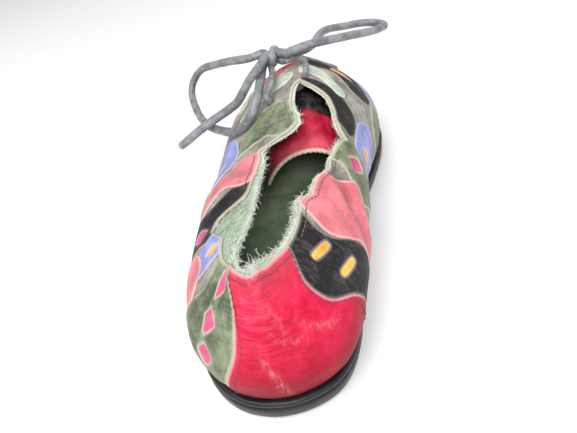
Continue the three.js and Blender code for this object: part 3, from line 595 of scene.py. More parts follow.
# ------------------------------------------------------------------ node materials
class Nodes:
    def __init__(self, name):
        self.mat = bpy.data.materials.new(name)
        self.mat.use_nodes = True
        self.t = self.mat.node_tree
        self.t.nodes.clear()
        self.out = self.t.nodes.new("ShaderNodeOutputMaterial")
        self.bsdf = self.t.nodes.new("ShaderNodeBsdfPrincipled")
        self.link(self.bsdf.outputs[0], self.out.inputs[0])
        self.coord = self.t.nodes.new("ShaderNodeTexCoord").outputs["Object"]

    def link(self, a, b):
        self.t.links.new(a, b)

    def put(self, socket, value):
        if isinstance(value, bpy.types.NodeSocket):
            self.link(value, socket)
        elif isinstance(value, (tuple, list)) and len(value) == 3 and socket.type == "RGBA":
            socket.default_value = (*value, 1)
        else:
            socket.default_value = value

    def attr(self, name, vector=False):
        n = self.t.nodes.new("ShaderNodeAttribute")
        n.attribute_name = name
        return n.outputs["Vector" if vector else "Fac"]

    def math(self, op, a, b=0.0, clamp=False):
        n = self.t.nodes.new("ShaderNodeMath")
        n.operation, n.use_clamp = op, clamp
        self.put(n.inputs[0], a)
        self.put(n.inputs[1], b)
        return n.outputs[0]

    def vmath(self, op, a, b=None):
        n = self.t.nodes.new("ShaderNodeVectorMath")
        n.operation = op
        self.put(n.inputs[0], a)
        if b is not None:
            self.put(n.inputs[1], b)
        return n.outputs[0]

    def ramp(self, x, lo, hi, a=0.0, b=1.0, smooth_step=True):
        n = self.t.nodes.new("ShaderNodeMapRange")
        n.interpolation_type = "SMOOTHSTEP" if smooth_step else "LINEAR"
        n.clamp = True
        for k, v in zip(("Value", "From Min", "From Max", "To Min", "To Max"), (x, lo, hi, a, b)):
            self.put(n.inputs[k], v)
        return n.outputs["Result"]

    def mix(self, f, a, b, how="MIX"):
        n = self.t.nodes.new("ShaderNodeMix")
        n.data_type, n.blend_type = "RGBA", how
        self.put(n.inputs["Factor"], f)
        self.put(n.inputs[6], a)
        self.put(n.inputs[7], b)
        return n.outputs[2]

    def noise(self, scale, detail=2.0, rough=0.5, vector=None, distortion=0.0):
        n = self.t.nodes.new("ShaderNodeTexNoise")
        n.inputs["Scale"].default_value = scale
        n.inputs["Detail"].default_value = detail
        n.inputs["Roughness"].default_value = rough
        n.inputs["Distortion"].default_value = distortion
        self.link(vector if vector is not None else self.coord, n.inputs["Vector"])
        return n.outputs["Fac"]

    def voronoi(self, scale, feature="SMOOTH_F1", vector=None, rnd=1.0):
        n = self.t.nodes.new("ShaderNodeTexVoronoi")
        n.feature = feature
        n.inputs["Scale"].default_value = scale
        n.inputs["Randomness"].default_value = rnd
        self.link(vector if vector is not None else self.coord, n.inputs["Vector"])
        return n.outputs["Distance"]

    def wave(self, scale, vector, distortion=0.0, detail=1.0, detail_scale=1.0, axis="X", profile="SIN"):
        n = self.t.nodes.new("ShaderNodeTexWave")
        n.bands_direction, n.wave_profile = axis, profile
        n.inputs["Scale"].default_value = scale
        n.inputs["Distortion"].default_value = distortion
        n.inputs["Detail"].default_value = detail
        n.inputs["Detail Scale"].default_value = detail_scale
        self.link(vector, n.inputs["Vector"])
        return n.outputs["Fac"]

    def bump(self, height_socket, distance, strength=1.0, normal=None):
        n = self.t.nodes.new("ShaderNodeBump")
        n.inputs["Strength"].default_value = strength
        n.inputs["Distance"].default_value = distance
        self.link(height_socket, n.inputs["Height"])
        if normal is not None:
            self.link(normal, n.inputs["Normal"])
        return n.outputs["Normal"]

    def finish(self, color, roughness, normal=None, **fixed):
        self.put(self.bsdf.inputs["Base Color"], color)
        self.put(self.bsdf.inputs["Roughness"], roughness)
        if normal is not None:
            self.link(normal, self.bsdf.inputs["Normal"])
        for k, v in fixed.items():
            self.bsdf.inputs[k.replace("_", " ")].default_value = v
        return self.mat


# ------------------------------------------------------------------ leather of the upper
# Plain appliqué shapes. Each outline is a few points of a rounded closed line.
# chart "wall" (station, height; medial side negative) or "plan" (x, y on the vamp)
def lozenge(cx, cy, rx, ry=None, turn=0.0, n=16):
    """diamond with soft corners"""
    return superellipse(cx, cy, rx, rx if ry is None else ry, turn, 1.75, n)


def bar(cx, cy, long, wide, turn=0.0):
    """short bar with rounded corners; length and width"""
    return superellipse(cx, cy, long / 2, wide / 2, turn, 0.5, 20)


def superellipse(cx, cy, rx, ry, turn, power, n):
    w = np.linspace(0, 2 * math.pi, n, endpoint=False)
    x = rx * np.sign(np.cos(w)) * np.abs(np.cos(w)) ** power
    y = ry * np.sign(np.sin(w)) * np.abs(np.sin(w)) ** power
    c, s = math.cos(turn), math.sin(turn)
    return [(cx + c * p - s * q, cy + s * p + c * q) for p, q in zip(x, y)]


PATCHES = {
    "olive": [
        ("wall", [(8, -8), (7, 14), (4, 32), (11, 50), (25, 62), (38, 70), (46, 56), (36, 38), (42, 18), (38, -8)]),
        ("wall", [(88, -8), (90, 12), (86, 24), (94, 34), (108, 28), (110, 14), (106, -8)]),
        ("wall", [(-90, -8), (-94, 18), (-88, 34), (-96, 48), (-92, 66), (-98, 80), (-118, 76), (-124, 56), (-116, 40), (-120, 22), (-116, -8)]),
        ("wall", [(112, 50), (118, 62), (112, 76), (120, 84), (134, 82), (138, 66), (132, 52), (122, 46)]),
        ("vamp", [(-30, 190), (-18, 182), (-4, 189), (6, 204), (5, 222), (-5, 234), (-17, 232), (-28, 214)]),
        ("vamp", [(54, 156), (66, 146), (96, 150), (98, 186), (76, 190), (62, 180), (54, 168)]),
    ],
    "charcoal": [
        ("wall", [(-36, -8), (-32, 20), (-26, 44), (-34, 76), (-56, 78), (-66, 62), (-58, 44), (-68, 24), (-62, -8)]),
        ("wall", [(62, -8), (58, 14), (64, 30), (60, 46), (64, 74), (84, 76), (90, 56), (84, 36), (88, 16), (86, -8)]),
        ("wall", [(-122, 44), (-120, 60), (-124, 78), (-130, 84), (-142, 80), (-146, 62), (-140, 46), (-130, 42)]),
        ("vamp", [(8, 150), (22, 154), (38, 149), (50, 156), (48, 171), (34, 178), (18, 173), (6, 166)]),
        ("vamp", [(-104, 184), (-68, 186), (-48, 182), (-37, 192), (-34, 210), (-22, 226), (-14, 240), (-20, 256), (-30, 288), (-66, 280), (-100, 232)]),
    ],
    "blue": [
        ("wall", [(44, 34), (48, 54), (40, 70), (42, 80), (68, 80), (62, 60), (66, 46), (60, 36), (52, 33)]),
        ("wall", [(-116, -8), (-118, 10), (-112, 24), (-120, 38), (-140, 41), (-152, 30), (-150, 12), (-154, -8)]),
        ("wall", [(108, -8), (112, 14), (106, 30), (114, 42), (134, 44), (142, 30), (138, 12), (142, -8)]),
        ("vamp", [(11, 181), (28, 184), (46, 181), (62, 188), (68, 202), (52, 213), (32, 209), (18, 205), (8, 195)]),
    ],
    "pink": [
        ("wall", [(-66, -8), (-70, 22), (-60, 42), (-68, 60), (-58, 78), (-90, 80), (-96, 66), (-88, 50), (-94, 34), (-86, 18), (-92, -8)]),
        ("wall", [(40, -8), (44, 12), (40, 26), (48, 34), (60, 32), (62, 12), (60, -8)]),
        ("wall", [(86, 30), (92, 44), (88, 58), (94, 74), (104, 74), (108, 54), (104, 38), (96, 26)]),
        ("vamp", [(-14, 146), (-2, 150), (4, 162), (0, 177), (-11, 181), (-22, 176), (-26, 164), (-22, 152)]),
        ("vamp", [(14, 215), (28, 213), (42, 219), (48, 238), (42, 262), (28, 288), (-8, 290), (-8, 266), (2, 250), (7, 232)]),
    ],
    "red": [
        ("wall", [(15, -9), (13, 10), (9, 26), (12, 42), (24, 52), (33, 62), (28, 80), (-52, 80), (-49, 62), (-40, 52), (-33, 43), (-35, 31),
                  (-45, 22), (-50, 10), (-48, -9)]),
        ("vamp", [(-98, 146), (-70, 146), (-52, 152), (-45, 164), (-54, 177), (-72, 181), (-100, 178)]),
        ("vamp", [(54, 222), (70, 208), (104, 206), (96, 250), (70, 276), (50, 268), (54, 244)]),
    ],
    "amber": [
        ("wall", bar(-50, 43, 11, 3.6, 0.25)),
        ("wall", bar(-52, 30, 11, 3.6, 0.25)),
        ("wall", lozenge(55, 58, 4.2, 6.5)),
        ("wall", lozenge(54, 43, 3.2, 4.6)),
        ("wall", lozenge(-130, 26, 5.0, 7.0)),
        ("wall", lozenge(-141, 14, 3.6, 5.0)),
        ("wall", lozenge(123, 29, 4.4, 6.5)),
        ("wall", lozenge(128, 11, 3.6, 5.0)),
        ("vamp", bar(28, 163, 15, 4.4, 0.1)),
        ("vamp", lozenge(-11, 217, 4.6, 6.2)),
        ("vamp", lozenge(-18, 203, 3.8, 5.0)),
        ("vamp", bar(30, 196, 11, 3.4, 0.3)),
        ("vamp", bar(47, 197, 11, 3.4, -0.3)),
        ("vamp", bar(-52, 208, 14, 4.4, 0.95)),
        ("vamp", bar(-34, 238, 13, 4.2, 1.15)),
        ("vamp", lozenge(76, 166, 4.4, 5.6)),
    ],
    "magenta": [
        ("wall", lozenge(24, 44, 3.8, 5.4)),
        ("wall", lozenge(24, 30, 3.8, 5.4)),
        ("wall", lozenge(23, 16, 3.8, 5.4)),
        ("wall", lozenge(-107, 60, 3.4, 5.2)),
        ("wall", lozenge(-104, 40, 3.4, 5.2)),
        ("wall", lozenge(-106, 18, 3.4, 5.2)),
        ("wall", lozenge(98, 16, 3.4, 5.0)),
        ("wall", lozenge(74, 52, 3.8, 5.4)),
        ("wall", lozenge(73, 30, 3.8, 5.4)),
    ],
    "mint": [
        ("wall", [(-144, 58), (-150, 70), (-150, 92), (-158, 96), (-164, 84), (-158, 66), (-150, 54)]),
        ("wall", [(140, 52), (146, 64), (150, 80), (158, 84), (160, 72), (154, 58), (146, 48)]),
        ("vamp", [(-6, 186), (6, 183), (10, 197), (12, 208), (3, 202)]),
        ("vamp", [(-40, 148), (-33, 146), (-30, 162), (-33, 178), (-40, 182), (-39, 164)]),
    ],
}
# closed scuffs on the heel: station, height
SCUFFS = [
    ([(-0.5, 27), (-3, 20), (-5.2, 12), (-7, 5)], 0.5),
    ([(-18, 34), (-24, 28), (-32, 24)], 0.5),
    ([(-8, 30), (-20, 26)], 0.35),
    ([(-3, 44), (-10, 38), (-12, 30)], 0.25),
]

worn_l, collar_l, collar_m = edge_curve(WORN_LATERAL), edge_curve(COLLAR_LATERAL), edge_curve(COLLAR_MEDIAL)


def leather_top_medial(u):
    return collar_m(u) - 0.012 * smooth(u, 424, 428)


P, U, T, TOP, FACES, IDS = wall_grid(1.12, 78, worn_l, leather_top_medial)
vamp_w = smooth(T, 0.72, 0.97) * smooth(U, U_THROAT_L + 2, U_THROAT_L + 12) * (1 - smooth(U, U_THROAT_M - 12, U_THROAT_M - 2))
P = relax(P, FACES, vamp_w, 26)
N = vertex_normals(P, FACES)
DISP, DEEP = unevenness(P, U, T)
BASE = P + N * DISP[:, None]


def open_eyelets(points, normals, faces, clear):
    """faces over the lace holes are taken away, and the hole's edge is drawn to a circle"""
    points = points.copy()
    for u, t in EYELETS:
        c = shell(np.array([u]), np.array([t]))[0]
        k = np.linalg.norm(points - c, axis=1).argmin()
        n = normals[k] / np.linalg.norm(normals[k])
        d = points - points[k]
        side = d - np.outer(d @ n, n)
        r, close = np.linalg.norm(side, axis=1), np.linalg.norm(d, axis=1) < 7
        keep = []
        for f in faces:
            if not len(f):
                keep.append(f)
                continue
            inside = (np.where(close, r, 99)[f] < clear).all(1)
            keep.append(f[~inside])
        faces = keep
        for _ in range(3):
            starts, counts = np.unique(boundary(faces)[:, 0], return_counts=True)
            pinched = [v for v in starts[counts > 1] if close[v]]
            if not pinched:
                break
            faces = [f[~(np.isin(f, pinched).any(1) & (r[f].mean(1) < clear + 0.9))] if len(f) else f for f in faces]
        ring = np.unique(boundary(faces))
        ring = ring[close[ring] & (r[ring] < clear + 1.2)]
        points[ring] += side[ring] / np.maximum(r[ring], 1e-6)[:, None] * (clear + 0.05 - r[ring])[:, None]
        # neighbours ease out with the ring
        near = close & (r > clear) & (r < clear + 1.6)
        near[ring] = False
        points[near] += side[near] / r[near][:, None] * ((clear + 1.6 - r[near]) * 0.35)[:, None]
    return points, faces


BASE, FACES = open_eyelets(BASE, N, FACES, EYELET_R)
N2 = vertex_normals(BASE, FACES)
WALLXY = chart(U, T)
_c = crest(U)
_y = np.minimum(_c[:, 1], POLE_Y)
_crest = np.where(((U > AT["facing lat 1"]) & (U < AT["facing med 2"]))[:, None], np.stack([ridge(_y)[:, 0], _y], 1), _c[:, :2])
_out = feather(U) - _crest
VAMPXY = _crest + _out / np.linalg.norm(_out, axis=1, keepdims=True) * (height(U, np.ones(len(U))) - height(U, T))[:, None]
on_vamp = (U > AT["facing lat 2"] - 8) & (U < AT["facing med 1"] + 2)
fields = {}
for colour, shapes in PATCHES.items():
    best = np.full(len(BASE), -6.0)
    for where, outline in shapes:
        d = signed(WALLXY if where == "wall" else VAMPXY, round_line(outline, closed=True, n=6))
        best = np.maximum(best, np.where(on_vamp, d, -6.0) if where == "vamp" else d)
    fields[colour] = best
free_edge = np.maximum(height(U, TOP) - height(U, T), 0)
free_edge = np.where((U > U_THROAT_L + 1) & (U < U_THROAT_M - 1), 30, np.minimum(free_edge, 30))
to_feather = height(U, T)
scuff = np.zeros(len(BASE))
for line, s in SCUFFS:
    d, w = polyline_distance(WALLXY, round_line(line))
    scuff = np.maximum(scuff, s * np.exp(-((d / 1.3) ** 2)) * np.sin(np.pi * np.clip(w, 0.02, 0.98)) ** 0.5)
fine = smooth(WALLXY[:, 1], 14, 34) * smooth(WALLXY[:, 0], -30, -2) * (1 - smooth(WALLXY[:, 0], 18, 26))
# the counter's leather is gathered into small ripples across its back and outer side
ripple = np.sin(WALLXY[:, 1] * 2 * math.pi / 2.9 + 1.3 * noise(BASE, 13, 71, 2) + 0.05 * WALLXY[:, 0])
BASE = BASE + N2 * (0.1 * ripple * fine * (0.6 + 0.4 * noise(BASE, 17, 72)))[:, None]

# Each colour is its own piece of leather, cut round the ones above it; the inlays show through holes.
SEAM = 0.15
cut = np.maximum(fields["amber"], fields["magenta"])
layers, above = {}, np.full(len(BASE), -6.0)
for colour in ("red", "pink", "blue", "mint", "charcoal", "olive"):
    layers[colour] = np.minimum(np.minimum(fields[colour], -above - SEAM), -cut)
    above = np.maximum(above, fields[colour])
layers["amber"] = fields["amber"] + 0.5
layers["magenta"] = fields["magenta"] + 0.5


def clip_surface(sd, faces):
    """the part of the surface with sd above 0. Each new corner is a mix of two old ones: (A, B, weight of B)"""
    s = np.where(np.abs(sd) < 0.13, 0.0, sd)
    index, corners, quads, tris = {}, [], [], []

    def corner(i, j):
        key = (i, j)
        if key not in index:
            index[key] = len(corners)
            corners.append((i, j, 0.0 if i == j else s[i] / (s[i] - s[j])))
        return index[key]

    for f in faces:
        if not len(f):
            continue
        some = (s[f] > 0).any(1)
        for face in f[some].tolist():
            poly, n = [], len(face)
            for k in range(n):
                i, j = face[k], face[(k + 1) % n]
                if s[i] >= 0:
                    poly.append(corner(i, i))
                if s[i] * s[j] < 0:
                    poly.append(corner(min(i, j), max(i, j)))
            if len(poly) == 3:
                tris.append(poly)
            elif len(poly) >= 4:
                quads.append(poly[:4])
                if len(poly) == 5:
                    tris.append([poly[0], poly[3], poly[4]])
                elif len(poly) == 6:
                    quads.append([poly[0], poly[3], poly[4], poly[5]])
    c = np.array(corners)
    ff = [np.array(quads, int).reshape(-1, 4), np.array(tris, int).reshape(-1, 3)]
    return c[:, 0].astype(int), c[:, 1].astype(int), c[:, 2], ff


SURFACE = {"deep": DEEP, "scuff": scuff, "fine": fine, "low": to_feather, "free": free_edge}
CHART3 = np.stack([WALLXY[:, 0], WALLXY[:, 1], np.zeros(len(BASE))], 1)
LEATHER_VERTS, LEATHER_FACES = [], []


def leather_sheet(name, sd, outer, inner, pillow, material):
    if sd is None:
        A = B = np.arange(len(BASE))
        W, ff = np.zeros(len(BASE)), FACES
        from_edge = free_edge
    else:
        A, B, W, ff = clip_surface(sd, FACES)
        from_edge = np.minimum(np.maximum(sd[A] * (1 - W) + sd[B] * W, 0), free_edge[A] * (1 - W) + free_edge[B] * W)

    def mix(a):
        w = W[:, None] if a.ndim > 1 else W
        return a[A] * (1 - w) + a[B] * w

    pts, nrm = mix(BASE), mix(N2)
    nrm /= np.maximum(np.linalg.norm(nrm, axis=1, keepdims=True), 1e-9)
    top = outer * (1 - 0.25 * np.exp(-((from_edge / 0.4) ** 2))) + pillow * smooth(from_edge, 0, 2.6)
    verts, faces, stands = thick_sheet(pts, ff, nrm, top, inner, bulge=0.3)
    is_rim = np.arange(len(verts)) >= 2 * len(pts)
    attributes = {k: mix(v)[stands] for k, v in SURFACE.items() if k != "free"}
    attributes["edge"] = np.where(is_rim, 0.0, from_edge[stands])
    o = make_object(name, verts, faces, attributes, {"chart": mix(CHART3)[stands]})
    o.data.materials.append(material)
    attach(o, "root")
    base = sum(len(v) for v in LEATHER_VERTS)
    LEATHER_VERTS.append((verts - SHIFT) / 1000)
    LEATHER_FACES.extend((np.asarray(f) + base).tolist() for f in faces if len(f))
    return o


def leather_material(name, dark, light, line, strength, rough, worn=0.0, worn_colour=(0.2, 0.17, 0.17), shine=0.42, sheen=0.08, top_highlight=0.0, foot=0.55, grime=0.4):
    m = Nodes(name)
    big, mid, speck = m.noise(70, 3, 0.6), m.noise(260, 3, 0.6), m.noise(1500, 2, 0.6)
    chart_v = m.attr("chart", vector=True)
    deep, edge, scuffed, low = m.attr("deep"), m.attr("edge"), m.attr("scuff"), m.attr("low")
    mottled = m.ramp(m.math("ADD", m.math("MULTIPLY", big, 0.6), m.math("MULTIPLY", mid, 0.4)), 0.38, 0.62)
    col = m.mix(mottled, dark, light)
    if worn:
        streak = m.noise(1.0, 4, 0.65, vector=m.vmath("MULTIPLY", chart_v, (0.36, 0.15, 0.0)), distortion=1.2)
        patchy = m.math("MULTIPLY", m.ramp(streak, 0.5, 0.64), m.ramp(speck, 0.25, 0.6, 0.45, 1.0))
        near = m.ramp(edge, 3.2, 0.4, 0.55, 1.0)
        col = m.mix(m.math("MULTIPLY", m.math("MULTIPLY", patchy, near), worn), col, worn_colour)
    # small ripples, with painted highlights on their tops
    warped = m.vmath("ADD", m.vmath("MULTIPLY", chart_v, (0.1, 0.62, 0.0)), m.vmath("MULTIPLY", m.coord, (30, 30, 30)))
    rip = m.noise(1.0, 1, 0.4, vector=warped, distortion=0.5)
    rip = m.math("MULTIPLY", m.math("ABSOLUTE", m.math("SUBTRACT", rip, 0.5)), 5.0, clamp=True)
    high = m.ramp(low, 8.0, 34.0, 0.15, 1.0)
    ripple_highlight = m.math("MULTIPLY", m.math("MULTIPLY", m.ramp(rip, 0.55, 0.05), m.attr("fine")), high)
    col = m.mix(m.math("MULTIPLY", ripple_highlight, 0.1), col, line)
    # painted shade darkens the crease hollows, high places are rubbed, painted shade darkens the foot of the wall
    col = m.mix(m.math("MULTIPLY", deep, 0.5), col, m.mix(0.7, col, (0.02, 0.015, 0.015)))
    rubbed = m.math("MULTIPLY", m.ramp(mid, 0.56, 0.72), m.ramp(big, 0.46, 0.62))
    col = m.mix(m.math("MULTIPLY", m.math("MULTIPLY", rubbed, high), 0.14), col, line)
    # painted highlight: the top of the wall is lightened towards the pale colour
    col = m.mix(m.ramp(low, 36.0, 60.0, 0.0, top_highlight), col, line)
    if grime:
        stain = m.math("MULTIPLY", m.ramp(m.noise(42, 4, 0.65, distortion=0.6), 0.5, 0.66), m.ramp(mid, 0.3, 0.6, 0.5, 1.0))
        col = m.mix(m.math("MULTIPLY", stain, grime), col, (0.5, 0.43, 0.38), "MULTIPLY")
    # painted shade: the foot of the wall is darkened, and darker still in the last 4 mm above the sole
    col = m.mix(m.ramp(low, 30.0, 2.0, 0.0, foot), col, (0.4, 0.15, 0.26) if top_highlight else (0.5, 0.4, 0.4), "MULTIPLY")
    col = m.mix(m.ramp(low, 4.0, 0.0, 0.0, 0.55), col, (0.35, 0.32, 0.32), "MULTIPLY")
    fibre = m.noise(900, 2, 0.6, vector=m.vmath("MULTIPLY", m.coord, (1.0, 0.5, 0.35)))
    col = m.mix(m.math("MULTIPLY", scuffed, m.ramp(fibre, 0.42, 0.6, 0.05, 0.6)), col, (0.9, 0.5, 0.48))
    # rubbed band along the cut edge and the cut itself
    band = m.math("MULTIPLY", m.ramp(edge, 1.15, 0.3), m.math("MULTIPLY", m.ramp(speck, 0.25, 0.55, 0.55, 1.0), strength))
    col = m.mix(band, col, line)
    col = m.mix(m.ramp(edge, 0.06, 0.0, 0.0, 0.6), col, (0.7, 0.6, 0.48))
    grain = m.math("ADD", m.math("MULTIPLY", m.voronoi(980), 0.6), m.math("MULTIPLY", m.noise(2300, 2, 0.6), 0.4))
    crackle = m.voronoi(330, feature="DISTANCE_TO_EDGE")
    normal = m.bump(m.ramp(crackle, 0.0, 0.12), 0.00014, 0.4)
    normal = m.bump(grain, 0.00036, 0.65, normal)
    normal = m.bump(m.math("MULTIPLY", rip, m.attr("fine")), 0.00028, 0.55, normal)
    r = m.math("ADD", m.math("MULTIPLY", m.math("SUBTRACT", mid, 0.5), 0.3), rough, clamp=True)
    return m.finish(col, r, normal, Sheen_Weight=sheen, Sheen_Roughness=0.5, Specular_IOR_Level=shine)


sheets = [
    leather_sheet("upper_leather", None, 0.0, -1.0, 0.0, leather_material(
        "ground_leather", (0.2, 0.18, 0.16), (0.42, 0.39, 0.345), (0.66, 0.6, 0.52), 0.6, 0.6, 0.55, (0.06, 0.05, 0.05))),
    leather_sheet("panel_olive", layers["olive"], 0.5, -0.12, 0.16, leather_material(
        "olive_leather", (0.07, 0.095, 0.05), (0.235, 0.275, 0.16), (0.56, 0.6, 0.44), 0.6, 0.64, 0.45, (0.42, 0.46, 0.33))),
    leather_sheet("panel_charcoal", layers["charcoal"], 0.5, -0.12, 0.16, leather_material(
        "charcoal_leather", (0.005, 0.005, 0.006), (0.018, 0.016, 0.018), (0.24, 0.21, 0.21), 0.85, 0.58, 0.55, (0.15, 0.13, 0.13), shine=0.3, sheen=0.0)),
    leather_sheet("panel_mint", layers["mint"], 0.5, -0.12, 0.16, leather_material(
        "mint_leather", (0.42, 0.53, 0.42), (0.66, 0.73, 0.6), (0.78, 0.8, 0.7), 0.4, 0.62, 0.4, (0.3, 0.34, 0.28))),
    leather_sheet("panel_blue", layers["blue"], 0.5, -0.12, 0.16, leather_material(
        "blue_leather", (0.19, 0.21, 0.53), (0.33, 0.37, 0.77), (0.52, 0.55, 0.78), 0.55, 0.55, 0.3, (0.42, 0.45, 0.78))),
    leather_sheet("panel_pink", layers["pink"], 0.5, -0.12, 0.16, leather_material(
        "pink_leather", (0.66, 0.14, 0.17), (0.86, 0.24, 0.28), (0.86, 0.55, 0.52), 0.6, 0.56, 0.5, (0.56, 0.3, 0.29))),
    leather_sheet("heel_counter", layers["red"], 0.6, -0.12, 0.2, leather_material(
        "red_leather", (0.54, 0.006, 0.036), (0.74, 0.015, 0.075), (0.92, 0.32, 0.4), 0.85, 0.47, 0.0, shine=0.16, sheen=0.0, top_highlight=0.16, foot=1.0, grime=0.0)),
    leather_sheet("inlay_amber", layers["amber"], 0.16, -0.12, 0.04, leather_material(
        "amber_leather", (0.78, 0.32, 0.035), (0.96, 0.6, 0.1), (0.95, 0.74, 0.4), 0.35, 0.55, 0.3, (0.97, 0.78, 0.2))),
    leather_sheet("inlay_magenta", layers["magenta"], 0.16, -0.12, 0.04, leather_material(
        "magenta_leather", (0.6, 0.04, 0.16), (0.84, 0.12, 0.3), (0.85, 0.45, 0.55), 0.35, 0.55, 0.0)),
]
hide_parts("upper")
LEATHER_TREE = BVHTree.FromPolygons(np.vstack(LEATHER_VERTS).tolist(), [f for group in LEATHER_FACES for f in group])


# ------------------------------------------------------------------ lining
def lining_top_lateral(u):
    ragged = 0.006 * math.sin(u * 2.1) + 0.005 * math.sin(u * 5.3 + 1)
    return float(collar_l(u)) + ragged * float(smooth(u, 20, 30)) * (1 - float(smooth(u, 96, 104)))


def lining_top_medial(u):
    ragged = 0.014 + 0.008 * math.sin(u * 1.7) + 0.007 * math.sin(u * 4.1 + 2)
    w = float(smooth(u, 486, 494)) * (1 - float(smooth(u, 548, 560)))
    return float(collar_m(u)) + ragged * w


LP, LU, LT, LTOP, LF, LIDS = wall_grid(1.6, 54, lining_top_lateral, lining_top_medial)
lw = smooth(LT, 0.72, 0.97) * smooth(LU, U_THROAT_L + 2, U_THROAT_L + 12) * (1 - smooth(LU, U_THROAT_M - 12, U_THROAT_M - 2))
LP = relax(LP, LF, lw, 13)
LN = vertex_normals(LP, LF)
LD, LDEEP = unevenness(LP, LU, LT)
LB = LP + LN * LD[:, None]
LB, LF = open_eyelets(LB, LN, LF, EYELET_R)
LN2 = vertex_normals(LB, LF)
bared = height(LU, LT) - height(LU, np.where(LU < U_THROAT_L, worn_l(LU), 1.2))  # mm above the worn leather
puff = 0.28 * noise(LB, 5, 21, 2) * smooth(bared, 0, 3)
verts, faces, stands = thick_sheet(LB, LF, LN2, -1.12 + puff, -1.95, bulge=0.2)
lining_edge = np.minimum(np.maximum(height(LU, LTOP) - height(LU, LT), 0), 30)
lining_edge = np.where((LU > U_THROAT_L + 1) & (LU < U_THROAT_M - 1), 30, lining_edge)
ch = chart(LU, LT)
inside_face = np.zeros(len(verts))
inside_face[len(LB):2 * len(LB)] = 1
lining = make_object(
    "lining", verts, faces,
    {"edge": lining_edge[stands], "inside": inside_face, "low": ch[stands, 1]},
    {"chart": np.stack([ch[:, 0], ch[:, 1], np.zeros(len(LB))], 1)[stands]},
)


def lining_material():
    m = Nodes("lining_cloth")
    c = m.attr("chart", vector=True)
    warp = m.wave(0.62, c, 0.5, 1, 1.5, axis="X")
    weft = m.wave(0.62, c, 0.5, 1, 1.5, axis="Y")
    weave = m.math("MULTIPLY", warp, weft)
    big, fuzz = m.noise(120, 3, 0.6), m.noise(1400, 3, 0.7)
    col = m.mix(m.ramp(big, 0.35, 0.65), (0.2, 0.31, 0.19), (0.42, 0.54, 0.37))
    col = m.mix(m.math("MULTIPLY", m.ramp(weave, 0.15, 0.6), 0.3), col, (0.56, 0.67, 0.53))
    pale = m.math("MULTIPLY", m.ramp(m.attr("edge"), 3.2, 0.2), m.ramp(fuzz, 0.3, 0.6, 0.4, 1.0))
    col = m.mix(m.math("MULTIPLY", pale, 0.85), col, (0.86, 0.89, 0.79))
    # painted shade: the inside face of the lining darkens away from its top edge
    inner = m.math("MULTIPLY", m.attr("inside"), m.ramp(m.attr("edge"), 1.5, 9.0))
    col = m.mix(m.math("MULTIPLY", inner, 0.8), col, (0.13, 0.22, 0.14))
    normal = m.bump(fuzz, 0.0005, 0.6)
    normal = m.bump(weave, 0.0004, 0.7, normal)
    return m.finish(col, 0.88, normal, Sheen_Weight=0.3, Sheen_Roughness=0.6, Specular_IOR_Level=0.25)


LINING_MAT = lining_material()
lining.data.materials.append(LINING_MAT)
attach(lining, "root")


# ------------------------------------------------------------------ frayed threads at the free edge
def strand_mesh(paths, radii, sides=3):
    """joined tapered strands; each path is (k, 3)"""
    verts, faces, ends = [], [], []
    for path, (r0, r1) in zip(paths, radii):
        path = np.asarray(path, float)
        tan = np.gradient(path, axis=0)
        tan /= np.maximum(np.linalg.norm(tan, axis=1, keepdims=True), 1e-9)
        ref = np.array([0.3, 0.2, 1.0]) if abs(tan[0, 2]) < 0.8 else np.array([1.0, 0.1, 0.2])
        a = np.cross(tan, ref)
        a /= np.maximum(np.linalg.norm(a, axis=1, keepdims=True), 1e-9)
        b = np.cross(tan, a)
        k = len(path)
        rr = np.linspace(r0, r1, k)[:, None]
        base = len(verts)
        for s in range(sides):
            w = 2 * math.pi * s / sides
            ring = path + (a * math.cos(w) + b * math.sin(w)) * rr
            if s == 0:
                block = np.zeros((k, sides, 3))
            block[:, s] = ring
        verts.extend(block.reshape(-1, 3).tolist())
        for i in range(k - 1):
            for s in range(sides):
                q = base + i * sides
                faces.append([q + s, q + (s + 1) % sides, q + sides + (s + 1) % sides, q + sides + s])
        ends.append([base + s for s in range(sides)][::-1])
        ends.append([base + (k - 1) * sides + s for s in range(sides)])
    return np.array(verts), [np.array(faces), np.array(ends)]


def frames(u, t):
    """points of the wall with their directions: along the station, up the wall, outwards"""
    u, t = np.atleast_1d(u).astype(float), np.atleast_1d(t).astype(float)
    du = shell(u + 0.4, t) - shell(u - 0.4, t)
    dt = shell(u, np.minimum(t + 0.01, 1.05)) - shell(u, t - 0.01)
    du /= np.linalg.norm(du, axis=1, keepdims=True)
    dt /= np.linalg.norm(dt, axis=1, keepdims=True)
    n = np.cross(dt, du)
    return shell(u, t), du, dt, n / np.linalg.norm(n, axis=1, keepdims=True)


def wander(start, d, length, points, curl, sink=0.1):
    """loose curly path"""
    out, d = [np.asarray(start, float)], d / np.linalg.norm(d)
    for _ in range(points - 1):
        out.append(out[-1] + d * length / (points - 1))
        d = d + RNG.normal(size=3) * curl - np.array([0, 0, sink])
        d /= np.linalg.norm(d)
    return np.array(out)


